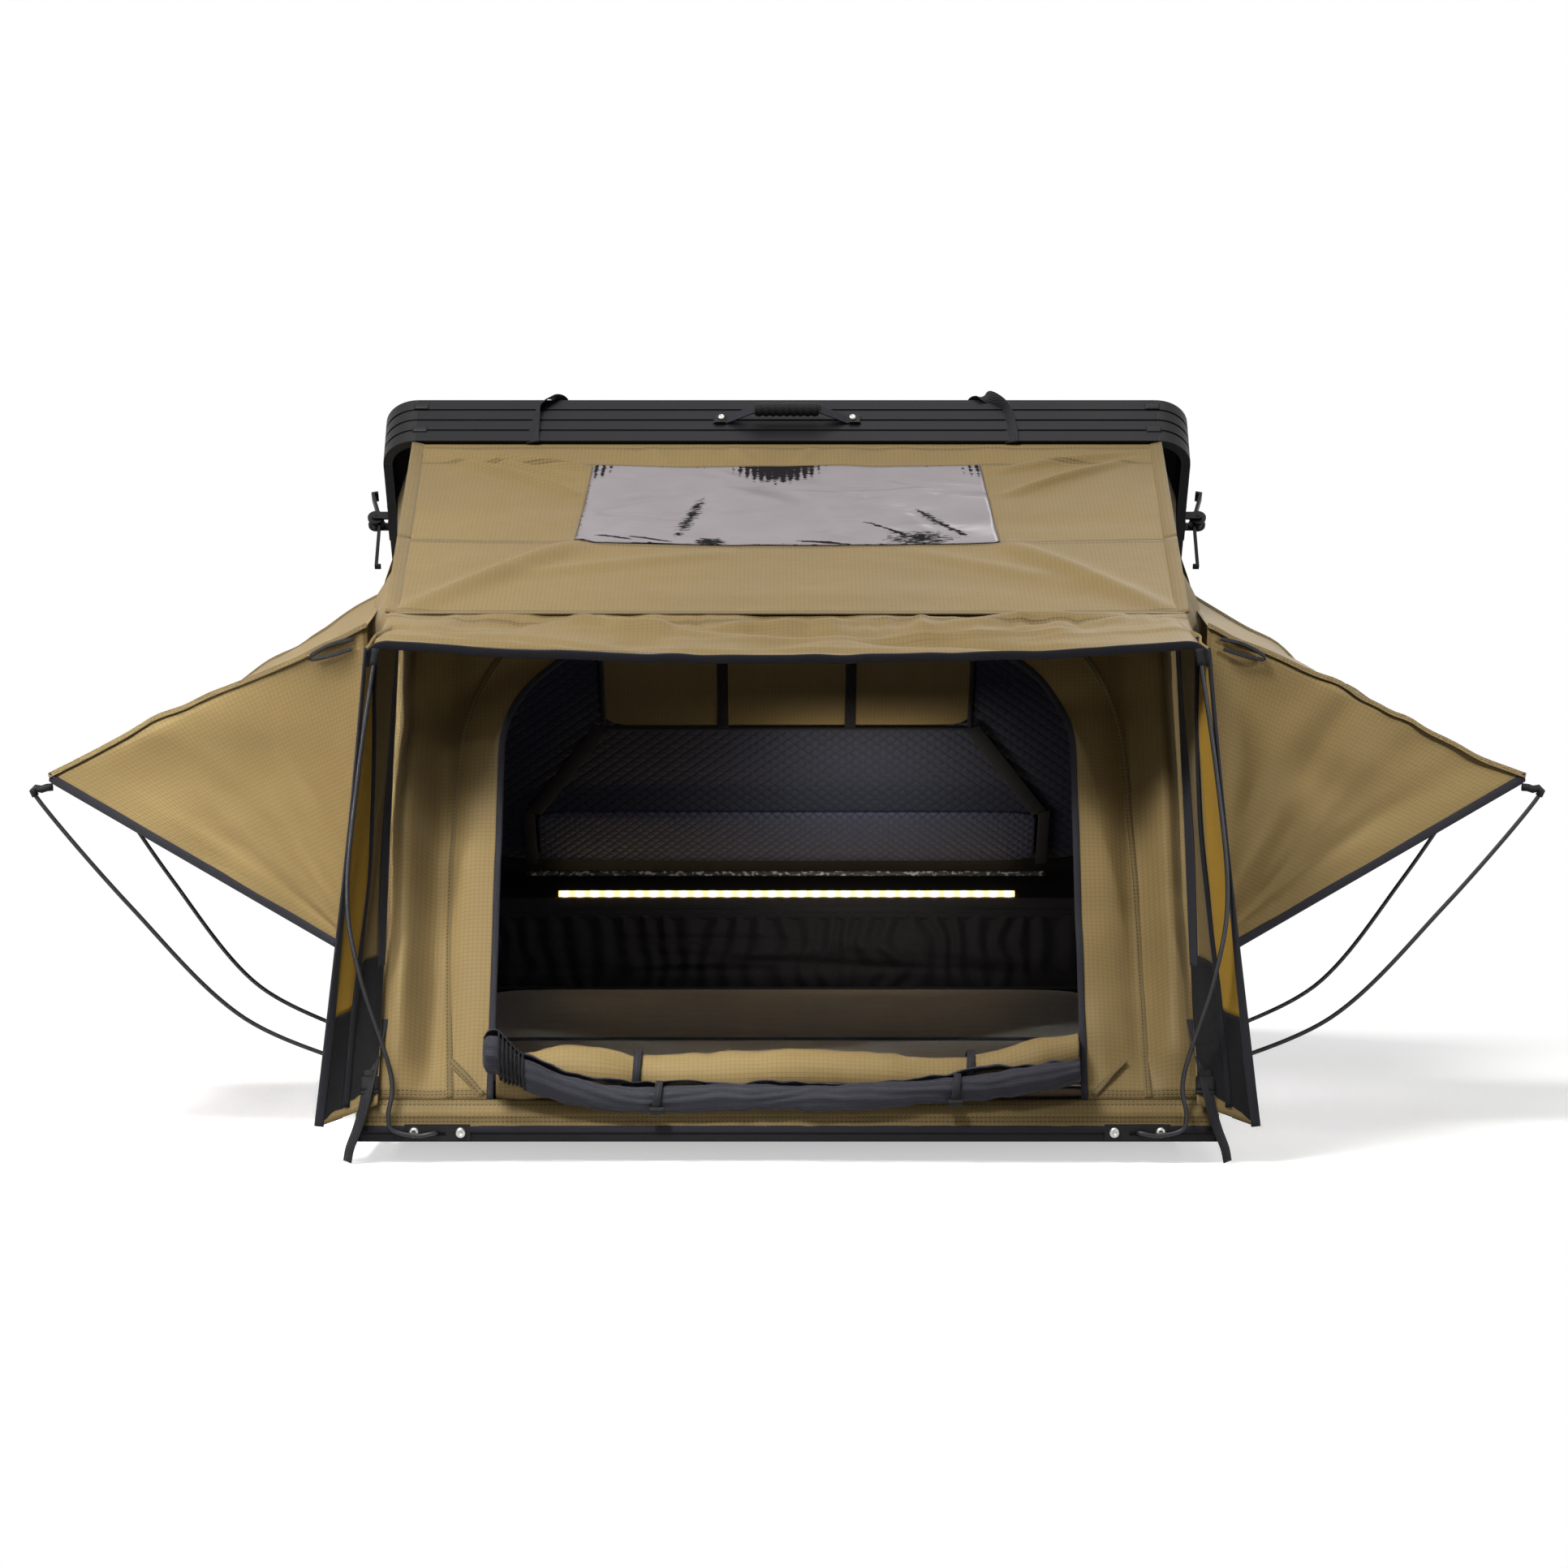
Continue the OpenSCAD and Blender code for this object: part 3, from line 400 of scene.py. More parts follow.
def strip_finish(name, colour, pitch=0.0022):
    """A woven tape of one colour: ribs and slubs."""
    finish = Finish(name, sheen_weight=0.06, gloss=0.15)
    x, y, _ = finish.axes(finish.uv)
    weave = x.wave(pitch) * y.wave(pitch)
    slub = finish.noise(finish.uv, 90.0, 3.0)
    tint = finish.tones(weave * 0.4, colour, 0.75, 1.2)
    tint = finish.mix(slub * 0.4, tint, shade(colour, 0.7))
    finish.bump(weave + slub, 0.0004, 0.7)
    return finish.paint(base_color=tint, roughness=slub * 0.2 + 0.6)


# The film's width and height, and its dark marks, from its upper left corner.
FILM_WIDE = 0.69
FILM_TALL = 0.398
# Each patch is an ellipse: its middle, its half sizes and its depth.
FILM_PATCHES = (
    (0.322, 0.0, 0.095, 0.100, 1.0), (0.012, 0.012, 0.040, 0.075, 0.55),
    (0.672, 0.02, 0.05, 0.06, 0.5), (0.215, 0.385, 0.036, 0.030, 0.55),
    (0.55, 0.37, 0.075, 0.05, 0.45))
# Each streak is a slanting line: its middle, slope, half height, half width and depth.
FILM_STREAKS = (
    (0.178, 0.255, -0.17, 0.125, 0.021, 0.50), (0.590, 0.300, 0.55, 0.085, 0.016, 0.55),
    (0.505, 0.330, 0.9, 0.060, 0.012, 0.6), (0.120, 0.378, 3.2, 0.012, 0.020, 0.85),
    (0.060, 0.372, 2.4, 0.014, 0.016, 0.8), (0.395, 0.388, 4.5, 0.010, 0.030, 0.8))


def film_finish(name):
    """Folded clear film: satin lilac grey, broken by dark reflections along its edges and creases.

    A dark patch is 1 at the middle of an ellipse or a line and 0 at its rim. Drawn-out noise
    over a threshold that falls with the patch breaks it into short strokes; the upper patch
    has ribs too.
    """
    base = colours().film
    finish = Finish(name, gloss=0.0, coat_roughness=0.22)
    x, y, _ = finish.axes(finish.uv)
    dashes = finish.noise(finish.stretched(finish.uv, (46.0, 330.0, 1.0)), 1.0, 4.0)
    flecks = finish.noise(finish.uv, 95.0, 4.0)
    haze = finish.noise(finish.uv, 16.0, 4.0)
    dark = 0.0
    for at_x, at_y, half_x, half_y, depth in FILM_PATCHES:
        off = ((x - at_x) / half_x) ** 2.0 + ((y - at_y) / half_y) ** 2.0
        dark = finish.math("MAXIMUM", dark, (1.0 - off).clamp() * depth)
    for at_x, at_y, slope, reach, half, depth in FILM_STREAKS:
        run = ((y - at_y) / reach) ** 4.0
        off = abs((x - at_x) - (y - at_y) * slope) / half
        dark = finish.math("MAXIMUM", dark, (1.0 - off - run).clamp() * depth)
    beside = finish.math("MINIMUM", x, FILM_WIDE - x)
    above = finish.math("MINIMUM", y, FILM_TALL - y)
    rim = finish.math("MINIMUM", beside, above)
    dark = finish.math("MAXIMUM", dark, ((0.008 - rim) * 90.0).clamp() * 0.42)
    ribs = x.wave(0.0125) * ((0.10 - y) * 20.0).clamp()
    broken = dashes * 0.62 + flecks * 0.38 - ribs * 0.20
    mark = ((broken + dark * 0.55 - 0.66) * 22.0).clamp() * (dark * 14.0).clamp()
    tint = finish.tones(haze * 0.7, base, 0.88, 1.14)
    tint = finish.mix(mark * 0.96, tint, (0.010, 0.010, 0.012))
    finish.bump(dashes * 0.5 + haze * 2.0 + flecks * 0.4, 0.0010, 0.45)
    return finish.paint(base_color=tint, roughness=haze * 0.16 + 0.24, coat_weight=0.4 - mark * 0.4)


def metal_finish(name, tone=1.0, rough=0.34):
    """Anodised aluminium: satin black with drawn lines, dust and rubbed patches."""
    base = shade(colours().metal, tone)
    finish = Finish(name, metallic=0.3, gloss=0.22)
    drawn = finish.noise(finish.stretched(finish.object, (4.0, 4.0, 260.0)), 3.0, 3.0)
    rubbed = finish.noise(finish.object, 9.0, 4.0)
    grain = finish.noise(finish.object, 900.0)
    tint = finish.tones(rubbed * 0.5, base, 0.75, 1.5)
    tint = finish.mix(drawn * 0.35, tint, shade(base, 2.2))
    finish.bump(drawn * 0.6 + grain * 0.5, 0.0002, 0.5)
    return finish.paint(base_color=tint, roughness=rubbed * 0.16 + grain * 0.08 + rough)


def plastic_finish(name, tone, rough):
    """Moulded black plastic: fine spark grain and scuffs."""
    base = shade((0.008, 0.008, 0.009), tone)
    finish = Finish(name, gloss=0.22)
    grain = finish.noise(finish.object, 700.0)
    scuff = finish.noise(finish.object, 24.0, 5.0)
    finish.bump(grain, 0.0003, 0.6)
    return finish.paint(base_color=finish.tones(scuff * 0.55, base, 0.8, 1.6),
                        roughness=scuff * 0.18 + rough)


def steel_finish(name, colour, rough):
    """Plated steel: bright with fine scratches and grey handling marks."""
    finish = Finish(name, metallic=1.0)
    scratch = finish.noise(finish.stretched(finish.object, (30.0, 260.0, 260.0)), 4.0, 3.0)
    mark = finish.noise(finish.object, 40.0, 4.0)
    finish.bump(scratch, 0.00015, 0.5)
    return finish.paint(base_color=finish.tones(mark * 0.6, colour, 0.7, 1.15),
                        roughness=mark * 0.18 + scratch * 0.1 + rough)


def quilt_finish(name, tone, pitch):
    """Quilted lining: padded diamonds between stitched lines, with painted light on the pads' tops and
    painted shade in the stitched valleys.
    """
    base = shade(colours().quilt, tone)
    finish = Finish(name, sheen_weight=0.10, sheen_roughness=0.4, gloss=0.25)
    x, y, _ = finish.axes(finish.uv)
    rise = abs(finish.math("SINE", (x + y) * (math.pi / pitch)))
    fall = abs(finish.math("SINE", (x - y) * (math.pi / pitch)))
    pad_height = (rise * fall) ** 0.5
    nap = finish.noise(finish.uv, 160.0, 3.0)
    # Painted light and shade: the colour follows the pads' height, lighter on their tops and darker
    # down at the stitched lines.
    tint = finish.tones(pad_height * 0.7, base, 0.55, 1.25)
    tint = finish.mix(nap * 0.3, tint, shade(base, 0.7))
    finish.bump(pad_height * 3.0 + nap * 0.3, 0.0010, 0.8)
    return finish.paint(base_color=tint, roughness=nap * 0.2 + 0.5)


def cover_finish(name):
    """Satin mattress cover: a close weave that creases softly, with painted light on the creases'
    ridges and painted shade in their hollows.
    """
    base = colours().cover
    finish = Finish(name, sheen_weight=0.3, sheen_roughness=0.35)
    x, y, _ = finish.axes(finish.object)
    crease = finish.noise(finish.stretched(finish.object, (3.0, 9.0, 3.0)), 3.0, 4.0)
    weave = x.wave(0.0022) * y.wave(0.0022)
    # Painted light and shade: the colour follows the creases' height, lighter on their ridges.
    tint = finish.tones(crease * 0.8, base, 0.7, 1.35)
    tint = finish.mix(weave * 0.25, tint, shade(base, 1.6))
    finish.bump(crease * 3.0 + weave * 0.3, 0.0020, 0.6)
    return finish.paint(base_color=tint, roughness=crease * 0.25 + 0.34)


def mesh_finish(name):
    """Fly mesh, rolled: a fine dark grid with grey lights on its ridges."""
    base = shade(colours().trim, 2.3)
    finish = Finish(name, sheen_weight=0.06, gloss=0.2)
    x, y, _ = finish.axes(finish.uv)
    grid_lines = (x.wave(0.0026) ** 4.0 + y.wave(0.0026) ** 4.0).clamp()
    soft = finish.noise(finish.uv, 22.0, 3.0)
    tint = finish.tones(grid_lines * 0.55, base, 0.55, 1.6)
    tint = finish.mix(soft * 0.35, tint, shade(base, 0.6))
    finish.bump(grid_lines + soft, 0.0004, 0.7)
    return finish.paint(base_color=tint, roughness=soft * 0.2 + 0.55)


def light_finish(name):
    """Warm light strip: bright beads under a milky cover."""
    finish = Finish(name, roughness=0.35, glow=7.0)
    x, _, _ = finish.axes(finish.object)
    bead = x.wave(0.0285) ** 2.0
    return finish.paint(base_color=finish.mix(bead, (0.7, 0.6, 0.4), (0.95, 0.9, 0.8)),
                        emission_color=finish.mix(bead, (0.42, 0.24, 0.06), (1.0, 0.84, 0.52)))


def glint_finish(name):
    """Gathered lustre tape: dark, with bright flecks where its pleats catch the light."""
    finish = Finish(name, gloss=0.5)
    fleck = finish.noise(finish.stretched(finish.object, (110.0, 30.0, 160.0)), 1.0, 3.0)
    lit = ((fleck - 0.52) * 9.0).clamp()
    finish.bump(fleck, 0.0010, 0.8)
    return finish.paint(base_color=finish.mix(lit, (0.010, 0.010, 0.012), (0.36, 0.36, 0.38)),
                        roughness=0.55 - lit * 0.25)


def lerp(a, b, t):
    """From a to b by t."""
    return a + (b - a) * t


def point(x, y, z):
    """Points from their parts, each a number or an array."""
    return np.stack(np.broadcast_arrays(np.asarray(x, float), y, z), axis=-1)


def unit(v):
    """Vectors made one long."""
    return v / np.maximum(np.linalg.norm(v, axis=-1, keepdims=True), 1e-12)


def grid(rows, columns):
    """Two arrays from 0 to 1, the first along the rows and the second along the columns."""
    return np.meshgrid(np.linspace(0, 1, rows), np.linspace(0, 1, columns), indexing="ij")


def bell(t, middle, width):
    """A bell curve: 1 at its middle, falling with the square of the distance over the width."""
    return np.exp(-((t - middle) / width) ** 2)


def arched(t, power):
    """A half wave over t from 0 to 1, raised to a power: 0 at both ends, 1 in the middle."""
    return np.sin(math.pi * np.clip(t, 0, 1)) ** power


def ramp(t, rate):
    """A straight rise from 0 at t = 0, held at 1."""
    return np.clip(t * rate, 0, 1)


def run_along(line):
    """Length along a polyline at each of its points."""
    steps = np.linalg.norm(np.diff(line, axis=0), axis=1)
    return np.concatenate([[0], np.cumsum(steps)])


def spans(points, axis):
    """Lengths of a grid's lines along one axis."""
    return np.linalg.norm(np.diff(points, axis=axis), axis=2).sum(axis=axis)


def even(line, count):
    """Points at equal steps of length along a polyline."""
    line = np.asarray(line, float)
    run = run_along(line)
    at = np.linspace(0, run[-1], count)
    return np.stack([np.interp(at, run, part) for part in line.T], axis=1)


def curve(points, count):
    """Even points along a smooth line through the given points.

    Each leg is a Catmull-Rom cubic, set by the leg's ends and their neighbours.
    """
    p = np.asarray(points, float)
    ends = np.vstack([2 * p[0] - p[1], p, 2 * p[-1] - p[-2]])
    t = np.linspace(0, len(p) - 1, 12 * len(p))
    leg = np.minimum(t.astype(int), len(p) - 2)
    f = (t - leg)[:, None]
    a, b, c, d = ends[leg], ends[leg + 1], ends[leg + 2], ends[leg + 3]
    line = 0.5 * (2 * b + (c - a) * f + (2 * a - 5 * b + 4 * c - d) * f ** 2
                  + (3 * b - a - 3 * c + d) * f ** 3)
    return even(line, count)


def legs(corners, counts):
    """Points along straight legs between corners, as many to each leg as counts gives."""
    corners = np.asarray(corners, float)
    ends = zip(corners, corners[1:], counts)
    parts = [np.linspace(a, b, n, endpoint=False) for a, b, n in ends]
    return np.concatenate(parts + [corners[-1:]])


def mirrored(line):
    """A line's points with their first parts turned about."""
    return np.asarray(line) * np.array([-1.0] + [1.0] * (np.shape(line)[-1] - 1))


def between(start, end, columns):
    """A ruled grid: straight rows from each point of one line to its mate on the other."""
    return lerp(start[:, None], end[:, None], np.linspace(0, 1, columns)[None, :, None])


def noise(u, v, cells_u, cells_v, seed):
    """Smooth noise from -1 to 1: random heights on a lattice, joined by an S curve."""
    heights = np.random.default_rng(seed).uniform(-1, 1, (cells_u + 2, cells_v + 2))
    x = np.clip(u, 0, 1) * cells_u
    y = np.clip(v, 0, 1) * cells_v
    i = x.astype(int)
    j = y.astype(int)
    fx = (x - i) ** 2 * (3 - 2 * (x - i))
    fy = (y - j) ** 2 * (3 - 2 * (y - j))
    near = lerp(heights[i, j], heights[i + 1, j], fx)
    far = lerp(heights[i, j + 1], heights[i + 1, j + 1], fx)
    return lerp(near, far, fy)


def creases(u, v, folds, seed):
    """Long folds across a sheet: each is a ridge, bell-shaped, about a line of u and v.

    folds gives how many, their width and their height; lines and strengths are random.
    """
    count, width, height = folds
    rng = np.random.default_rng(seed)
    column = (count,) + (1,) * np.ndim(u)
    angle = rng.uniform(0, math.pi, column)
    centre_u = rng.uniform(0, 1, column)
    centre_v = rng.uniform(0, 1, column)
    strength = rng.uniform(-1, 1, column)
    du = u[None] - centre_u
    dv = v[None] - centre_v
    off = du * np.cos(angle) + dv * np.sin(angle)
    along = dv * np.cos(angle) - du * np.sin(angle)
    ridge = bell(off, 0, width) * bell(along, 0, 6 * width)
    return height * (strength * ridge).sum(axis=0)


def pushed(points, direction, height):
    """A grid of points moved along one direction by the height at each."""
    return points + np.asarray(direction, float) * np.asarray(height)[..., None]


def raised(points, height):
    """A grid of points lifted along its normals, from the slopes of its rows and columns."""
    down = np.gradient(points, axis=0)
    along = np.gradient(points, axis=1)
    return pushed(points, unit(np.cross(down, along)), height)


def flat_uv(points):
    """UV in metres: length along each row's middle line and each column's middle line."""
    v = run_along(points[:, points.shape[1] // 2])
    u = run_along(points[points.shape[0] // 2])
    return np.stack(np.meshgrid(u, v), axis=-1)


def piece(name, points, finish, body, uv=None, closed=False):
    """A mesh of quads between neighbouring points of a grid, on a body.

    A closed one has its last column joined to its first, its doubled points merged and its
    faces turned outwards.
    """
    rows, columns = points.shape[:2]
    index = np.arange(rows * columns).reshape(rows, columns)
    if closed:
        index = np.concatenate([index, index[:, :1]], axis=1)
    quads = np.stack([index[:-1, :-1], index[1:, :-1], index[1:, 1:], index[:-1, 1:]], axis=-1)
    mesh = bpy.data.meshes.new(name)
    mesh.from_pydata((points + SHIFT).reshape(-1, 3).tolist(), [], quads.reshape(-1, 4).tolist())
    uv = flat_uv(points) if uv is None else uv
    corners = np.empty(len(mesh.loops), np.int32)
    mesh.loops.foreach_get("vertex_index", corners)
    layer = mesh.uv_layers.new(name="UVMap")
    layer.data.foreach_set("uv", uv.reshape(-1, 2)[corners].astype(np.float32).ravel())
    mesh.shade_smooth()
    if closed:
        work = bmesh.new()
        work.from_mesh(mesh)
        bmesh.ops.remove_doubles(work, verts=work.verts, dist=1e-6)
        bmesh.ops.recalc_face_normals(work, faces=work.faces)
        work.to_mesh(mesh)
        work.free()
    mesh.materials.append(finish)
    made = bpy.data.objects.new(name, mesh)
    bpy.context.scene.collection.objects.link(made)
    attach(made, body)
    return made


def swept(name, line, a, b, profile, finish, body):
    """A closed bar: a profile, in steps along the directions a and b, carried along a line.

    The first and last rings shrink to a point, which caps the ends.
    """
    line = np.asarray(line, float)
    profile = np.asarray(profile, float)
    size = np.ones(len(line) + 2)
    size[0] = size[-1] = 0.0
    path = np.concatenate([line[:1], line, line[-1:]])
    a = np.broadcast_to(a, line.shape)
    b = np.broadcast_to(b, line.shape)
    a = np.concatenate([a[:1], a, a[-1:]])
    b = np.concatenate([b[:1], b, b[-1:]])
    rings = profile[None] * size[:, None, None]
    points = path[:, None] + rings[..., :1] * a[:, None] + rings[..., 1:] * b[:, None]
    uv = np.stack(np.meshgrid(run_along(profile), run_along(path)), -1)
    return piece(name, points, finish, body, uv, closed=True)


def circle(sides):
    """Directions round a circle, as many as its sides."""
    turn = np.linspace(0, 2 * math.pi, sides, endpoint=False)
    return np.stack([np.cos(turn), np.sin(turn)], axis=1)


def slab(width, thickness):
    """A flat strip's section with rounded edges."""
    w = width / 2
    t = thickness / 2
    return [(-w, -t / 2), (-w + t, -t), (0, -t), (w - t, -t), (w, -t / 2),
            (w, t / 2), (w - t, t), (0, t), (-w + t, t), (-w, t / 2)]


def tube(name, line, radius, finish, body, sides=12):
    """A round bar along a line; each ring lies square to the line there."""
    along = unit(np.gradient(np.asarray(line, float), axis=0))
    spare = np.array([0.0, 1.0, 0.0]) if abs(along[:, 1]).mean() < 0.7 else OUTWARD
    a = unit(np.cross(along, spare))
    return swept(name, line, a, np.cross(along, a), radius * circle(sides), finish, body)


def strip(name, line, across, width, thickness, finish, body):
    """A flat band along a line, as wide as given along the direction across."""
    along = unit(np.gradient(np.asarray(line, float), axis=0))
    a = np.broadcast_to(across, along.shape)
    a = unit(a - along * (a * along).sum(axis=1, keepdims=True))
    return swept(name, line, a, np.cross(along, a), slab(width, thickness), finish, body)


def cloth(name, points, finish, body, nodes=(),
          flat=None, share=1.0, uv=None, thickness=None):
    """A declared sheet: a grid of points with a thickness to both sides, for some CAD nodes.

    It works out its flat cut, its longest row by its longest column where flat doesn't give it, times
    share, how much of that it fills, and doesn't keep it.
    """
    made = piece(name, points, finish, body, uv)
    solid = made.modifiers.new("Thickness", "SOLIDIFY")
    solid.thickness = thickness or sizes().canvas_t
    solid.offset = 0.0
    width, length = flat or (spans(points, 1).max(), spans(points, 0).max())
    share * width * length
    if nodes:
        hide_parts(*nodes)
    return made


def row_point(x, y, z):
    """A point of the tent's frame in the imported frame."""
    return tuple(np.array([x, y, z]) + SHIFT)


def fold_floor(made, keep=CANVAS_KEEP, axis=(0, 0, 1), anchor=(0, 0.5, 0.075)):
    """Gives a soft piece its own copy of its mesh."""
    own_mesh(made)


def fold_lid(made, keep, axis, anchor):
    """Gives a soft piece its own copy of its mesh."""
    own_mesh(made)


def settle(pieces, slot, fold=None, **how):
    """Hands each piece to the fold given, if any, with how; the slot is not used."""
    for made in pieces:
        if fold:
            fold(made, **how)


def spring_rod(end, name, line, look, body, nodes, fold, **how):
    """A spring rod along a line, with a rubber tip over its last points, both handed to the fold."""
    radius = sizes().rod_r
    tip_points = 5 if end == "front" else 6
    rod = tube(f"{end}_spring_rod_{name}", line, radius, look["rod"], body)
    if nodes:
        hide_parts(*nodes)
    tip = tube(f"{end}_rod_tip_{name}", line[-tip_points:], radius + ROD_TIP_WALL, look["rubber"],
               body)
    settle([rod, tip], "steel", fold, **how)


def lid_point(x, a, b):
    """A point of the open lid, from its offsets to the axis when closed: a to the rear, b up."""
    return point(x, LID_AXIS[1] + a * math.cos(OPEN_ANGLE) + b * math.sin(OPEN_ANGLE),
                 LID_AXIS[2] - a * math.sin(OPEN_ANGLE) + b * math.cos(OPEN_ANGLE))


def closed_lid(points):
    """Points of the closed lid taken to the open lid."""
    offset = points - LID_AXIS
    return lid_point(points[..., 0], offset[..., 1], offset[..., 2])


def roof_point(x, u):
    """A point of the roof: u runs from the lid's lip to the crease."""
    s = sizes()
    lip = lid_point(x, -LID_LENGTH + 0.008, -0.0017)
    crease = point(x, s.crease_y + 0.0004, s.crease_z + 0.0003)
    return lerp(lip, crease, np.asarray(u)[..., None])


def roof_half(u):
    """Half the roof's width at u."""
    return lerp(sizes().lip_half, sizes().crease_half, u)


def roof_slope():
    """The roof's vector from its lip to its crease."""
    return roof_point(0.0, 1.0) - roof_point(0.0, 0.0)


def roof_share(y):
    """Share of the way from the lid's lip to the crease at a place of the floor."""
    return (y - roof_point(0.0, 0.0)[1]) / roof_slope()[1]


def eave_point(y, inside):
    """A point in the roof's side seam over a place of the floor, some way inside its edge."""
    u = roof_share(y)
    return roof_point(roof_half(u) - inside, u) + np.array([0, 0, 0.0012])


# Folds drawn into the roof: x and u of both ends, width and height of each.
ROOF_FOLDS = (
    (-0.61, 1.0, -0.34, 0.60, 0.020, 0.026), (0.61, 1.0, 0.36, 0.60, 0.022, 0.022),
    (-0.62, 0.04, -0.35, 0.135, 0.012, 0.019), (-0.60, 0.08, -0.36, 0.28, 0.011, 0.022),
    (-0.56, 0.07, -0.37, 0.20, 0.009, 0.017), (0.62, 0.05, 0.36, 0.16, 0.012, 0.019),
    (0.60, 0.09, 0.37, 0.30, 0.012, 0.019), (-0.44, 0.78, -0.10, 0.63, 0.020, 0.008),
    (0.48, 0.84, 0.20, 0.63, 0.022, 0.006), (-0.10, 0.01, -0.06, 0.10, 0.012, 0.005),
    (0.05, 0.01, 0.02, 0.10, 0.010, 0.005), (-0.24, 0.01, -0.20, 0.10, 0.012, 0.004))


def roof_height(x, u):
    """Lift of the roof: a sag between lip and crease, tension folds and puckers at the lip.

    Each fold of ROOF_FOLDS is a rounded ridge about a line between two spots of (x, u).
    """
    across = x / 1.3 + 0.5
    edge = arched(u, 0.7)
    rim = ramp(1 - np.abs(x) / roof_half(u), 1) ** 0.35
    sag = -0.012 * edge * (1 - (x / 0.66) ** 2)
    folds = creases(across, u, (16, 0.05, 0.006), seed=11) * edge
    lip = 0.0035 * np.exp(-u / 0.10) * noise(across, u, 26, 3, seed=12) * ramp(u, 30)
    length = np.linalg.norm(roof_slope())
    ridges = 0.0
    for x0, u0, x1, u1, width, height in ROOF_FOLDS:
        run = np.array([x1 - x0, (u1 - u0) * length])
        span = np.linalg.norm(run)
        run = run / span
        along = ((x - x0) * run[0] + (u - u0) * length * run[1]) / span
        off = (u - u0) * length * run[0] - (x - x0) * run[1]
        taper = arched(along * 0.9 + 0.05, 0.6) * ((along > -0.05) & (along < 1.05))
        ridges = ridges + height * bell(off, 0, width) * taper
    return (sag + folds + lip + ridges) * rim


def on_roof(x, u):
    """Points of the roof with its lift."""
    return pushed(roof_point(x, u), ROOF_UP, roof_height(x, u))


def wall_point(x, s):
    """A point of the front wall: s runs from the floor to the crease."""
    y = lerp(-0.0008, sizes().crease_y - 0.002, s)
    return point(x, y, lerp(PANEL_TOP + 0.001, sizes().crease_z - 0.007, s))


def wall_height():
    """Length of the front wall up its slope."""
    return np.linalg.norm(wall_point(0.0, 1.0) - wall_point(0.0, 0.0))


def side_x(z):
    """Distance of a side wall from the middle at a height."""
    s = sizes()
    share = (z - 0.045) / (s.crease_z - 0.045)
    return lerp(FLOOR_HALF - 0.011, s.crease_half + 0.0026, share)


def build_roof(look):
    """Upper roof canvas around the sky window, the window's film, the lower canvas and seams."""
    s = sizes()
    top = WINDOW_TOP
    low = WINDOW_LOW
    length = np.linalg.norm(roof_slope())
    lip_fold = {"keep": ROOF_KEEP, "axis": unit(roof_slope()), "anchor": roof_point(0.0, 0.0)}
    rows = (0.020, 0.104, low * length + 0.010, length - 0.012)
    roof = canvas("roof_canvas_finish", [(1, row) for row in rows])
    window_top_half = s.window_half - WINDOW_TAPER
    counts = (88, 120, 88)
    outer = legs([(-roof_half(low), low), (-s.lip_half, 0), (s.lip_half, 0), (roof_half(low), low)],
                 counts)
    inner = legs([(-s.window_half, low), (-window_top_half, top), (window_top_half, top),
                  (s.window_half, low)], counts)
    place = between(outer, inner, 56)
    x, u = place[..., 0], place[..., 1]
    window_share = s.window_half * (low - top) / (s.lip_half * low)
    made = cloth("roof_canvas_upper", on_roof(x, u), roof, "lid",
                 ["roof_canvas"], flat=(2 * s.lip_half, low * length), share=1 - window_share,
                 uv=np.stack([x, u * length], -1))
    fold_lid(made, **lip_fold)

    u, v = grid(64, 96)
    edge = 0.006 * noise(v, v, 11, 1, seed=31) * u ** 6
    film_u = lerp(top - 0.004, low + 0.003, u) + edge
    film_x = lerp(-1, 1, v) * lerp(window_top_half, s.window_half, u) * 0.997
    crinkle = creases(v, u, (46, 0.018, 0.0034), seed=21) + creases(v, u, (9, 0.07, 0.008), seed=22)
    lift = roof_height(film_x, film_u) + crinkle * arched(u, 0.4) + 0.0022
    film = pushed(roof_point(film_x, film_u), ROOF_UP, lift)
    made = cloth("sky_window_film", film, look["film"], "lid", ["sky_window"],
                 flat=(2 * s.window_half, (low - top + 0.007) * length),
                 thickness=0.0008)
    fold_lid(made, **lip_fold)

    u, v = grid(44, 110)
    u = lerp(low + 0.001, 1.0, u)
    x = lerp(-1, 1, v) * roof_half(u)
    made = cloth("roof_canvas_lower", on_roof(x, u), roof, "floor", ["roof_lower"],
                 flat=(2 * roof_half(low), (1 - low) * length), uv=np.stack([x, u * length], -1))
    fold_floor(made)

    for side, name in SIDES:
        for part, body, first, last in (("upper", "lid", 0.0, low), ("lower", "floor", low, 1.0)):
            u = np.linspace(first, last, 30)
            edge = roof_point(side * (roof_half(u) - 0.004), u) + ROOF_UP * 0.0018
            bead = strip(f"roof_seam_{part}_{name}", edge, (1, 0, 0.25 * side), 0.022, 0.0044,
                         look["felled"], body)
            if body == "lid":
                fold_lid(bead, **lip_fold)
            else:
                fold_floor(bead)


def awning_edge(k):
    """The front awning's free edge: k runs from -1 to 1 across, and the middle hangs lowest."""
    s = sizes()
    return point(k * (s.crease_half + 0.013), s.crease_y - s.awning_reach,
                 s.crease_z - s.awning_drop - s.awning_sag * (1 - k ** 2))


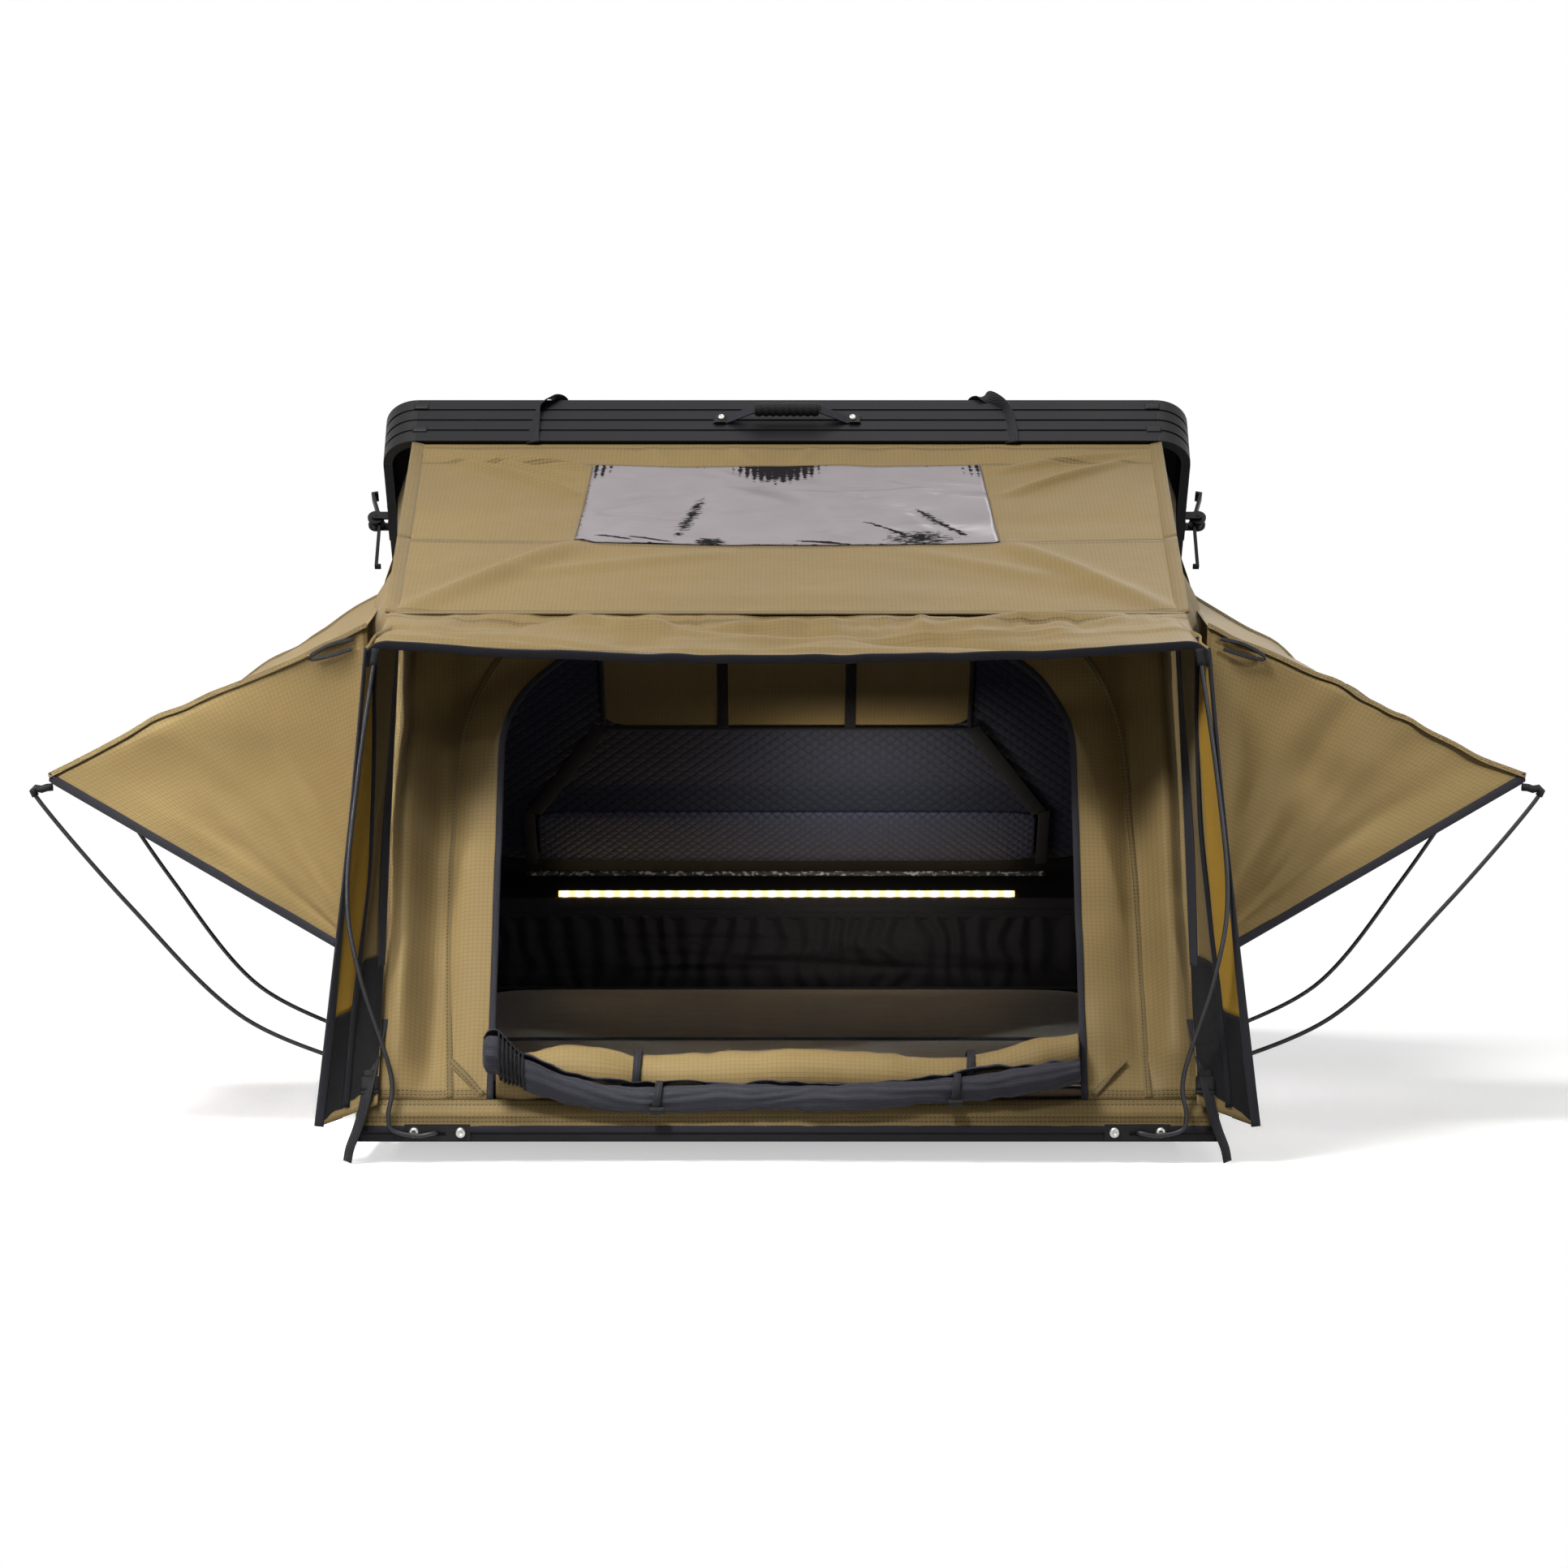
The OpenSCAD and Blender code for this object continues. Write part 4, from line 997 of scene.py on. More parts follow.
def build_awning(look):
    """Front awning with puckers under its crease, a bound edge and a stitched crease.

    Its corners are rounded: the edge falls away there by a quarter circle.
    """
    s = sizes()
    u, v = grid(34, 190)
    k = lerp(-1, 1, v)
    root = point(k * s.crease_half, s.crease_y - 0.0004, s.crease_z + 0.0003)
    corner = np.clip(1 - (1 - np.abs(k)) * s.crease_half / AWNING_CORNER, 0, 1)
    drop = AWNING_CORNER * (1 - np.sqrt(1 - corner ** 2))
    flat = lerp(root, awning_edge(k) - point(0, 0, drop), u[..., None])
    pucker = 0.0085 * noise(v, u, 30, 4, seed=41) * (np.exp(-u / 0.30) + 0.12 * u ** 2)
    pleats = 0.0040 * noise(v, u, 72, 2, seed=43) * bell(u, 0.18, 0.16)
    folds = creases(v, u, (30, 0.035, 0.010), seed=42) - 0.009 * arched(u, 1) * (1 - k ** 4)
    points = pushed(flat, (0, -0.17, 0.985), (pucker + pleats + folds) * ramp(u, 12))
    finish = canvas("awning_canvas_finish", [(1, 0.010), (1, 0.036), (1, 0.255)])
    made = cloth("front_awning_sheet", points, finish, "floor",
                 ["front_awning"])
    fold_floor(made)
    bound = strip("front_awning_binding", even(points[-1], 280), (0, 0.35, -0.94), 0.014, 0.0034,
                  look["trim"], "floor")
    settle([bound], "webbing", fold_floor)
    ridge = point(np.linspace(-1, 1, 100) * s.crease_half, s.crease_y - 0.004, s.crease_z + 0.0014)
    bead = strip("crease_seam", ridge, (0, 1, 0.2), 0.013, 0.0030, look["felled"], "floor")
    settle([bead], "canvas", fold_floor)


def door_outline(count):
    """Half the door's edge as (x, s): up the jamb, round the arch and in to the middle."""
    s = sizes()
    rise = s.arch_r / wall_height()
    arch_x = s.door_half - s.arch_r
    spring = DOOR_HEAD - rise
    turn = np.linspace(0, math.pi / 2, count, endpoint=False)
    jamb = np.linspace((s.door_half, DOOR_FOOT), (s.door_half, spring), 2 * count, endpoint=False)
    arch = np.stack([arch_x + s.arch_r * np.cos(turn), spring + rise * np.sin(turn)], axis=1)
    head = np.linspace((arch_x, DOOR_HEAD), (0, DOOR_HEAD), count)
    return np.concatenate([jamb, arch, head])


def wall_relief(x, t):
    """Lift of the front wall: a full roll beside each wing, a hollow next to it, and drag folds."""
    across = x / (2 * sizes().crease_half) + 0.5
    out = np.abs(x)
    height = arched(t * 0.95 + 0.03, 0.5)
    roll = 0.026 * bell(out, 0.572, 0.020)
    hollow = -0.030 * bell(out, 0.522, 0.028)
    folds = creases(across, t, (34, 0.035, 0.0080), seed=51) + 0.003 * noise(across, t, 14, 9, seed=52)
    drag = 0.006 * np.sin(out * 150 + 9 * t) * ramp(0.40 - t, 1)
    return (roll + hollow) * height + folds + drag


def wall_face(x, t, proud=0.0):
    """Points of the front wall with its relief, held still at the floor, crease and corners."""
    inset = ramp(sizes().crease_half - np.abs(x), 26)
    still = inset * ramp(t - DOOR_FOOT, 12) * ramp(1 - t, 14)
    return pushed(wall_point(x, t), WALL_OUT, wall_relief(x, t) * still + proud)


# Spots of the wall's felled seams, as (x, share of the wall's height).
WALL_SEAMS = {
    "left": ((-0.495, 0.03), (-0.506, 0.35), (-0.504, 0.596), (-0.491, 0.78), (-0.451, 0.909),
             (-0.395, 0.985)),
    "right": ((0.530, 0.03), (0.528, 0.35), (0.520, 0.596), (0.508, 0.78), (0.463, 0.909),
              (0.405, 0.985)),
}


def build_front_wall(look):
    """Front wall around the arched door, with its felled seams, gussets, skirt and bindings."""
    s = sizes()
    count = 24
    half = s.crease_half
    height = wall_height()
    shoulder = 0.74
    arch_x = s.door_half - s.arch_r
    inner = door_outline(count)
    corner = legs([(half, shoulder), (half, 1.0), (arch_x, 1.0)], (count // 2, count // 2))[:-1]
    side = np.linspace((half, DOOR_FOOT), (half, shoulder), 2 * count, endpoint=False)
    outer = np.concatenate([side, corner, np.linspace((arch_x, 1.0), (0, 1.0), count)])
    rows = between(outer, inner, 26)
    rows = np.concatenate([mirrored(rows), rows[::-1][1:]])
    x, t = rows[..., 0], rows[..., 1]
    arch_corners = 0.03
    door = 2 * s.door_half * DOOR_HEAD * height - arch_corners
    made = cloth("front_wall_sheet", wall_face(x, t), canvas("front_wall_finish", [(1, 0.034)]),
                 "floor", ["front_wall"], flat=(2 * half, height),
                 share=1 - door / (2 * half * height), uv=np.stack([x, t * height], -1))
    fold_floor(made)

    u, v = grid(10, 130)
    z = lerp(0.0466, 0.0040, u)
    y = np.interp(z, [0.0040, 0.0136, 0.027, 0.0466], [-0.0018, -0.0012, -0.0008, 0.0105])
    ripple = 0.0016 * noise(v, u, 40, 2, seed=53) * arched(u, 1)
    skirt_half = half + 0.0035
    skirt = point(lerp(-1, 1, v) * skirt_half, y - 0.0012 + ripple, z)
    made = cloth("wall_skirt", skirt, canvas("skirt_finish", [(1, 0.005), (1, 0.030)]), "floor")
    fold_floor(made)
    line = point(np.linspace(-1, 1, 90) * skirt_half, -0.0030, 0.0050)
    hem = strip("skirt_binding", line, (0, 0, 1), 0.010, 0.0016, look["trim"], "floor")
    edge = even(np.concatenate([mirrored(inner), inner[::-1][1:]]), 260)
    line = wall_face(edge[:, 0], edge[:, 1], 0.0012)
    bound = strip("door_binding", line, unit(wall_point(0.0, 0.5) - line), 0.010, 0.0036,
                  look["trim"], "floor")
    settle([hem, bound], "webbing", fold_floor)

    for side, name in SIDES:
        guide = curve(WALL_SEAMS[name], 110)
        line = wall_face(guide[:, 0], guide[:, 1], 0.0016)
        felled = strip(f"wall_seam_{name}", line, (1, 0, 0), 0.011, 0.0030, look["felled"], "floor")
        line = wall_face(side * np.linspace(0.497, 0.447, 16), np.linspace(0.105, 0.034, 16), 0.0018)
        gusset = strip(f"wall_gusset_{name}", line, (1, 0, 0.6), *FELLED, look["felled"], "floor")
        settle([felled, gusset], "canvas", fold_floor)


def build_wings(look):
    """Wings from the wall's corners to the rods, with their mustard facing, zip and fasteners."""
    s = sizes()
    half = s.crease_half
    count = 110
    columns = 41
    edge_y = s.crease_y - s.awning_reach
    edge_z = s.crease_z - s.awning_drop
    rim = curve([(half + 0.071, 0.002, 0.008), (half + 0.059, 0.014, 0.120),
                 (half + 0.043, 0.046, 0.300), (half + 0.027, 0.095, 0.500),
                 (half + 0.014, edge_y - 0.002, edge_z - 0.007)], count)
    root = wall_point(np.full(count, half - 0.018), np.linspace(0.02, 1.006, count))
    root = root - np.array([0, 0.016, 0])
    u, v = grid(count, columns)
    # Each facing: its first and last column and row of the wing, its finish and how proud it is.
    facings = (("mustard", 24, 40, 24, count, "mustard", 0.0020),
               ("mustard_foot", 24, 40, 0, 25, "foot", 0.0020),
               ("fastener", 8, 21, 33, count - 2, "fastener", 0.0026),
               ("fastener_foot", 2, 23, 1, 34, "foot", 0.0018),
               ("backing", 1, 7, 30, count - 2, "trim", 0.0020))
    # Each edging: its column, width, thickness, finish, and its first and last row.
    edgings = (("binding", columns - 1, 0.014, 0.0046, "trim", 0, count),
               ("zip", 22, 0.010, 0.0058, "zip", 2, count - 1))
    for side, name in SIDES:
        folds = creases(v, u, (14, 0.09, 0.005), seed=61 + side) + 0.005 * np.sin(8 * v + 6 * u)
        points = pushed(between(root, rim, columns), (-1.0, 0.15, 0),
                        folds * arched(v, 0.6) * ramp(u, 6))
        points = points * np.array([side, 1, 1])
        made = cloth(f"wing_sheet_{name}", points, look["canvas"], "floor",
                     ["wings"] if side < 0 else [], share=0.62)
        fold_floor(made)
        inward = np.array([-side * 0.98, -0.2, 0])
        for part, left, right, first, last, finish, proud in facings:
            panel = points[first:last, left:right + 1] + inward * proud
            width = spans(panel, 1)
            made = cloth(f"wing_{part}_{name}", panel, look[finish], "floor",
                         share=max(0.32, width.mean() / width.max()),
                         thickness=0.0010)
            fold_floor(made)
        across = unit(points[:, -1] - points[:, 0])
        for part, column, width, thick, finish, first, last in edgings:
            line = (points[:, column] + inward * 0.0022)[first:last]
            made = strip(f"wing_{part}_{name}", line, across[first:last], width, thick,
                         look[finish], "floor")
            settle([made], "webbing", fold_floor)


def rod_line(foot, tip):
    """A side rod: straight in its socket, then bowed outwards and hooked in at its tip."""
    foot = np.array(foot)
    tip = np.array(tip)
    spots = [foot + (0, 0, -0.005), foot + (0, 0, 0.018), foot + (0, 0, 0.028),
             foot + (0.010, 0, 0.046), lerp(foot, tip, 0.33) + (0.042, 0, -0.030),
             lerp(foot, tip, 0.68) + (0.036, 0, -0.030), tip + (0.014, 0, -0.022),
             tip + (0.008, 0, -0.005), tip + (-0.008, 0, -0.002)]
    return curve(spots, 90)


def build_side_wall(side, name, look):
    """A side wall that flares to the eaves, with its lining; returns its seam line at the eaves."""
    s = sizes()
    body = f"{name}_side"
    turn = np.array([side, 1, 1])
    rear = FLOOR_REAR - 0.007
    u, v = grid(70, 70)
    low = point(FLOOR_HALF - 0.011, lerp(0.016, rear, v), 0.0456)
    high = eave_point(lerp(s.crease_y - 0.006, rear, v), 0.004)
    wall = lerp(low, high, u[..., None])
    still = arched(u, 0.6) * arched(v, 0.5)
    folds = creases(v, u, (26, 0.06, 0.008), seed=71 + side)
    eave = bell(wall[..., 2], EAVE_HEIGHT, EAVE_SPREAD) * ramp(wall[..., 1] - 0.40, 9)
    outer = pushed(wall, OUTWARD, folds * still + EAVE_SWELL * eave * ramp(1 - u, 9))
    lining = pushed(wall, -OUTWARD, LINING_GAP + np.abs(folds) * 0.6 * still)
    foot_fold = {"keep": SIDE_KEEP, "anchor": (0, 0, 0.05)}
    made = cloth(f"side_wall_sheet_{name}", outer * turn, look["canvas"], body,
                 [f"side_wall_{name}"], share=0.75)
    fold_floor(made, **foot_fold)
    made = cloth(f"side_lining_{name}", lining * turn, look["quilt"], body,
                 share=0.75)
    fold_floor(made, **foot_fold)
    seam_row = -14
    first_column = 8
    return even(outer[seam_row, first_column:], 60) + (0.0016, 0, 0)


def build_side_awning(side, name, look, eave_line):
    """A side awning, ruled from the wall to its rim and creased, with its bound edge and seams."""
    s = sizes()
    body = f"{name}_side"
    turn = np.array([side, 1, 1])
    reach = s.side_reach
    foot_z = 0.206
    foot_x = side_x(foot_z) + 0.003
    root_x = side_x(s.crease_z) + 0.003 + 0.030
    front_foot = (foot_x, 0.430, foot_z)
    rear_foot = (foot_x, 0.880, foot_z)
    counts = (54, 44, 54)
    root = legs([front_foot, (root_x, 0.424, s.crease_z - 0.018), (root_x, 0.880, 0.806), rear_foot],
                counts)
    rim = legs([front_foot, (reach, 0.430, 0.510), (reach - 0.024, 0.950, 0.528), rear_foot], counts)
    sag = np.concatenate([np.zeros(counts[0]), np.sin(np.linspace(0, math.pi, counts[1])),
                          np.zeros(counts[2] + 1)])[:, None]
    rim = rim - np.array([0.020, 0, 0.012]) * sag
    r, t = grid(len(root), 40)
    folds = creases(t, r, (46, 0.040, 0.011), seed=81 + side)
    fans = 0.0055 * noise(r, t, 20, 2, seed=83 + side)
    still = arched(t, 0.7) * ramp(r, 12) * ramp(1 - r, 12) * (1 - 0.82 * np.sqrt(sag))
    rows = raised(between(root, rim, 40), (folds + fans) * still - 0.010 * arched(t, 1) * sag)
    made = cloth(f"side_awning_sheet_{name}", rows * turn, look["canvas"], body,
                 [f"side_awning_{name}"], share=0.55)
    flat = {"keep": ROOF_KEEP, "axis": (1, 0, 0), "anchor": (side * 0.632, 0.5, 0.3)}
    fold_floor(made, **flat)
    trims = [strip(f"side_awning_binding_{name}", even(rows[:, -1], 170) * turn,
                   (0.3 * side, 0, 1), 0.014, 0.0036, look["trim"], body)]
    for end, row in (("front", counts[0]), ("rear", counts[0] + counts[1])):
        trims.append(strip(f"side_awning_seam_{end}_{name}", (rows[row] + (0, 0, 0.0014)) * turn,
                           (0, 0.75, 0.66), *FELLED, look["felled"], body))
    loop = curve([(0.672, 0.419, 0.724), (0.706, 0.415, 0.716), (0.736, 0.413, 0.700),
                  (0.738, 0.412, 0.692), (0.708, 0.413, 0.698), (0.676, 0.416, 0.708)], 40)
    trims.append(strip(f"awning_tie_{name}", loop * turn, (0, 0.5, 1), 0.0060, 0.0022,
                       look["webbing"], body))
    trims.append(strip(f"eave_seam_{name}", eave_line * turn, (0, 0, 1), *FELLED, look["felled"],
                       body))
    settle(trims, "webbing", fold_floor, **flat)


def build_sides(look):
    """Side walls, side awnings and the spring rods that hold them out."""
    reach = sizes().side_reach
    for side, name in SIDES:
        build_side_awning(side, name, look, build_side_wall(side, name, look))
        turn = np.array([side, 1, 1])
        line = rod_line((FLOOR_HALF + 0.0093, 0.450, 0.004), (reach, 0.418, 0.496)) * turn
        spring_rod("side", name, line, look, f"{name}_side", [f"side_rod_{name}"], fold_floor,
                   keep=ROD_KEEP, axis=tuple(unit(line[-1] - line[0])), anchor=line[0])
        line = rod_line((SHELL_HALF + 0.0093, 0.950, 0.020), (reach - 0.024, 0.962, 0.512)) * turn
        spring_rod("rear", name, line, look, "base", ["rear_rods"] if side < 0 else [], fold_lid,
                   keep=ROD_KEEP, axis=tuple(unit(line[-1] - line[0])), anchor=line[0])


def build_rear(look):
    """Canvas between tray and lid at each side of the shell, with its lining."""
    s = sizes()
    inner = SHELL_HALF - 0.0191
    front = TRAY_FRONT
    rear = LID_AXIS[1] - 0.010
    counts = (16, 16, 40)
    low = legs([(FLOOR_HALF + 0.0085, front - 0.018, 0.104), (inner, front + 0.130, 0.150),
                (inner, front + 0.330, 0.150), (inner, rear - 0.060, 0.190)], counts)
    high = legs([eave_point(front - 0.026, 0.001),
                 lid_point(s.lip_half - 0.001, -LID_LENGTH + 0.010, 0.0006),
                 lid_point(inner, -LID_LENGTH + 0.150, 0.006), lid_point(inner, -0.090, 0.006)],
                counts)
    rows = between(low, high, 40)
    r, t = grid(len(rows), 40)
    still = arched(t, 0.6) * ramp(r, 14)
    near = np.exp(-np.clip(rows[..., 1] - front + 0.026, 0, None) / 0.20)
    swell = EAVE_SWELL * bell(rows[..., 2], EAVE_HEIGHT, EAVE_SPREAD) * near
    fold = {"keep": BULKY_KEEP, "axis": (0, 0, 1), "anchor": (0, 1.5, 0.206)}
    for side, name in SIDES:
        folds = creases(t, r, (30, 0.06, 0.010), seed=91 + side)
        turn = np.array([side, 1, 1])
        outer = pushed(rows, OUTWARD, swell - np.abs(folds) * still)
        made = cloth(f"rear_canvas_sheet_{name}", outer * turn, look["canvas"], "base",
                     ["rear_canvas"] if side < 0 else [], share=0.6)
        fold_lid(made, **fold)
        lining = outer - LINING_GAP * OUTWARD
        made = cloth(f"rear_lining_{name}", lining * turn, look["quilt"], "base",
                     share=0.6)
        fold_lid(made, **fold)


def pad(name, centre, half, finish, body, nodes=(), crown=0.0, place=None):
    """A stuffed pad: a rounded block with soft edges and a slight crown.

    Both angles' sines and cosines are raised to small powers, so the sphere fills out to a block.
    """
    def filled(value, power):
        """A signed value raised to a power."""
        return np.sign(value) * np.abs(value) ** power

    u, v = grid(40, 72)
    lat = ((u - 0.5) * math.pi)[:, :-1]
    lon = 2 * math.pi * v[:, :-1]
    flat = filled(np.cos(lat), 0.32)
    x = flat * filled(np.cos(lon), 0.16)
    y = flat * filled(np.sin(lon), 0.16)
    z = filled(np.sin(lat), 0.55)
    swell = 1 + crown * (1 - x ** 2) * (1 - y ** 2)
    points = np.stack([x * half[0], y * half[1], z * half[2] * swell], -1)
    uv = points[..., :2]
    points = points + np.array(centre)
    if place is not None:
        points = place(points)
    made = piece(name, points, finish, body, uv, closed=True)
    if nodes:
        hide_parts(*nodes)


def build_mattress(look):
    """The two mattress halves with piping round three of their upper edges."""
    half_x = FLOOR_HALF - 0.0545
    half_z = 0.021
    top = PANEL_TOP + 0.0003
    rear = TRAY_FRONT + 0.014
    halves = (("mattress_rear", "base", rear, rear + 1.188, "tray_mattress"),
              ("mattress_front", "floor", 0.112, FOLD_AXIS[1] - 0.015, "floor_mattress"))
    for name, body, y0, y1, node in halves:
        pad(name, (0, (y0 + y1) / 2, top + half_z), (half_x, (y1 - y0) / 2, half_z), look["cover"],
            body, [node], 0.05)
        loop = legs([(-half_x, y0, 0), (half_x, y0, 0), (half_x, y1, 0), (-half_x, y1, 0)],
                    (60, 60, 60))
        edge = loop * np.array([0.992, 1, 0]) + np.array([0, 0, top + 0.036])
        bead = tube(f"{name}_piping", edge, 0.0030, look["trim"], body, 8)


def build_lining(look):
    """Quilted lid lining with its rear panel in the quilt brightened by painted light, and the
    organizer with its straps and bands.
    """
    axis_y = LID_AXIS[1]
    axis_z = LID_AXIS[2]
    pad("lid_quilt", (0, TRAY_FRONT + 0.629, axis_z + 0.0597), (SHELL_HALF - 0.064, 0.563, 0.009),
        look["lid_quilt"], "lid", ["lid_liner"], place=closed_lid)
    # The rear panel's quilt is 2.4 times brighter: painted light from the light strip.
    pad("rear_quilt_panel", (0, axis_y - 0.160, axis_z + 0.0440), (0.475, 0.070, 0.0065),
        look["bright_quilt"], "lid", place=closed_lid)
    y = axis_y - 0.649
    z = axis_z + 0.0454
    deep = 0.171
    wide = 0.340
    pad("organizer_pad", (0, y, z), (0.342, deep, 0.005), look["canvas"], "lid",
        ["organizer"], place=closed_lid)
    low = z - 0.006
    border = legs([(-wide, y - deep, low), (wide, y - deep, low), (wide, y + deep, low),
                   (-wide, y + deep, low), (-wide, y - deep, low)], (60, 24, 60, 24))
    bands = [tube("organizer_binding", closed_lid(border), 0.0045, look["trim"], "lid", 8)]
    for side, name in SIDES:
        lines = (("organizer_strap", "webbing", 0.020, 30, (side * 0.118, y - deep, low - 0.0015),
                  (side * 0.118, y + deep, low - 0.0015)),
                 ("lining_band", "trim", 0.030, 24, (side * 0.345, y + deep, low),
                  (side * 0.480, axis_y - 0.235, low)),
                 ("panel_band", "trim", 0.022, 20, (side * 0.490, axis_y - 0.240, low),
                  (side * 0.490, axis_y - 0.085, low)))
        for part, finish, width, count, start, end in lines:
            line = closed_lid(np.linspace(start, end, count))
            bands.append(strip(f"{part}_{name}", line, (1, 0, 0), width, 0.0024, look[finish], "lid"))
    settle(bands, "webbing")


def build_pocket(look):
    """Gathered pocket on the tray's rear with its elastic, the lining's tape and the hinge cover."""
    rear = LID_AXIS[1]
    half = SHELL_HALF - 0.140
    u, v = grid(30, 260)
    pleats = np.sin(2 * math.pi * 26 * v + 3 * noise(v, u, 16, 3, seed=101))
    gather = 0.0075 * pleats * (0.5 + 0.5 * np.exp(-u / 0.25))
    belly = -0.018 * arched(u, 0.8)
    slack = creases(v, u, (30, 0.05, 0.010), seed=102) * arched(u, 1)
    points = point(lerp(-1, 1, v) * half, rear - 0.040 + belly + gather * 0.8 + slack,
                   lerp(0.201, 0.052, u))
    cloth("rear_pocket_sheet", points, look["pocket"], "base", ["rear_pocket"])
    line = point(np.linspace(-1, 1, 90) * half, rear - 0.040, 0.200)
    elastic = strip("rear_pocket_elastic", line, (0, 0, 1), 0.014, 0.0060, look["trim"], "base")
    line = lid_point(np.linspace(-1, 1, 120) * 0.500, -0.068, 0.028)
    tape = strip("lining_edge_tape", line, (0, 0.15, 1), 0.0090, 0.0016, look["lustre"], "lid")
    settle([elastic, tape], "webbing")
    u, v = grid(12, 90)
    seal = np.interp(u, [0, 0.5, 1], [-0.0275, -0.0245, -0.0185])
    points = point(lerp(-1, 1, v) * (SHELL_HALF - 0.070), rear + seal, lerp(0.200, 0.2338, u))
    made = cloth("hinge_cover", points, look["pocket"], "base")
    fold_lid(made, 0.30, (0, 0, 1), (0, 2.13, 0.200))


def rolled(name, roll, finish, node, seed, shape, ribs=0.0, share=1.0):
    """A sheet rolled on itself: a spiral section, lumpy along its length.

    roll gives the middle's place, the inner and outer radius, the turns and the two ends; shape
    gives the girth and the climb of the middle at each place; ribs is the height of its
    lengthwise pleats.
    """
    (y0, z0), (r0, r1), turns, (x0, x1) = roll
    u, v = grid(190, 150)
    x = lerp(x0, x1, u)
    girth, climb_y, climb_z = shape(x)
    angle = 2 * math.pi * turns * v - 0.5 * math.pi
    lump = 0.0050 * noise(u, v, 12, 7, seed) + 0.0024 * noise(u, v, 44, 5, seed + 1)
    drift = 5 * noise(u, 0 * v, 7, 1, seed + 3)
    pleat = ribs * np.sin(9 * angle + drift + 2 * noise(u, v, 20, 9, seed + 4))
    radius = (lerp(r0, r1, v) + (lump + pleat) * v) * girth
    sway = 0.006 * noise(u, 0 * v, 5, 1, seed + 2)
    points = point(x, y0 + climb_y + radius * np.cos(angle),
                   z0 + climb_z + sway + radius * np.sin(angle))
    return cloth(name, points, finish, "floor", [node],
                 share=share)


def build_rolls(look):
    """Rolled door over the rolled fly mesh, with their ties."""
    half = sizes().door_half - 0.009
    mesh_y, mesh_z, mesh_r = -0.01475, 0.0460, 0.0225
    door_y, door_z, door_r = 0.0354, 0.0749, 0.0390

    def door_shape(x):
        """Drawn in at both ends, slightly at the ties, and humped between them."""
        ends = 1 - 0.30 * bell(x, -half, 0.04) - 0.20 * bell(x, half, 0.04)
        ties = 1 - 0.10 * bell(x, -0.222, 0.014) - 0.10 * bell(x, 0.266, 0.014)
        hump = 0.009 * bell(x, -0.33, 0.07) + 0.006 * bell(x, -0.02, 0.12)
        rise = 0.036 * np.clip((x - 0.22) / (half - 0.22), 0, 1) ** 1.5
        return ends * ties + hump * 8, 0 * x, hump + rise

    def mesh_shape(x):
        """Climbs the door roll's left end, lashed to a neck under a full end, then lies level."""
        away = x + half
        climb = np.exp(-np.clip(away, 0.004, None) / 0.085)
        full = 1 + 0.42 * bell(away, 0, 0.07) - 0.30 * bell(away, 0.036, 0.013)
        ends = 1 - 0.35 * bell(away, -0.015, 0.004) - 0.15 * bell(x, half, 0.03)
        tie = 1 - 0.10 * bell(x, -0.190, 0.011)
        rise = 0.044 * np.clip((x - 0.02) / (half - 0.02), 0, 1) ** 1.7
        return full * ends * tie, -0.022 * climb, 0.076 * climb + rise

    door_roll = ((door_y, door_z), (0.013, door_r), 3.0, (-half, half))
    mesh_roll = ((mesh_y, mesh_z), (0.008, mesh_r), 2.5, (-half - 0.015, half))
    rolls = [rolled("door_roll_sheet", door_roll, look["canvas"], "door_roll", 111, door_shape),
             rolled("mesh_roll_sheet", mesh_roll, look["mesh"], "mesh_roll", 121, mesh_shape, 0.0015,
                    0.8)]
    for made in rolls:
        fold_floor(made, BULKY_KEEP)
    ties = []
    turn = np.linspace(0, 2 * math.pi, 60)
    for name, x, y, z, r in (("door_left", -0.222, door_y, door_z + 0.003, 0.0400),
                             ("door_right", 0.266, door_y, door_z + 0.002, 0.0395),
                             ("mesh_left", -0.190, mesh_y, mesh_z + 0.0055, 0.0240),
                             ("mesh_right", 0.245, mesh_y, mesh_z + 0.0165, 0.0240)):
        line = point(x + 0.003 * np.sin(turn), y + r * np.cos(turn), z + r * np.sin(turn))
        ties.append(strip(f"roll_tie_{name}", line, (1, 0, 0), 0.011, 0.0026, look["webbing"],
                          "floor"))
        knot = point(np.linspace(x - 0.011, x + 0.011, 10), y - 0.75 * r - 0.004, z - 0.66 * r)
        ties.append(tube(f"roll_toggle_{name}", knot, 0.0050, look["rubber"], "floor"))
    count = 240
    spin = np.linspace(0, 14 * math.pi, count)
    x = -half + lerp(0.006, 0.046, np.linspace(0, 1, count))
    girth, climb_y, climb_z = mesh_shape(x)
    r = mesh_r * girth + 0.0022
    coil = point(x, mesh_y + climb_y + r * np.cos(spin), mesh_z + climb_z + r * np.sin(spin))
    ties.append(tube("mesh_neck_lashing", coil, 0.0015, look["rubber"], "floor", 8))
    settle(ties, "webbing", fold_floor, keep=BULKY_KEEP)


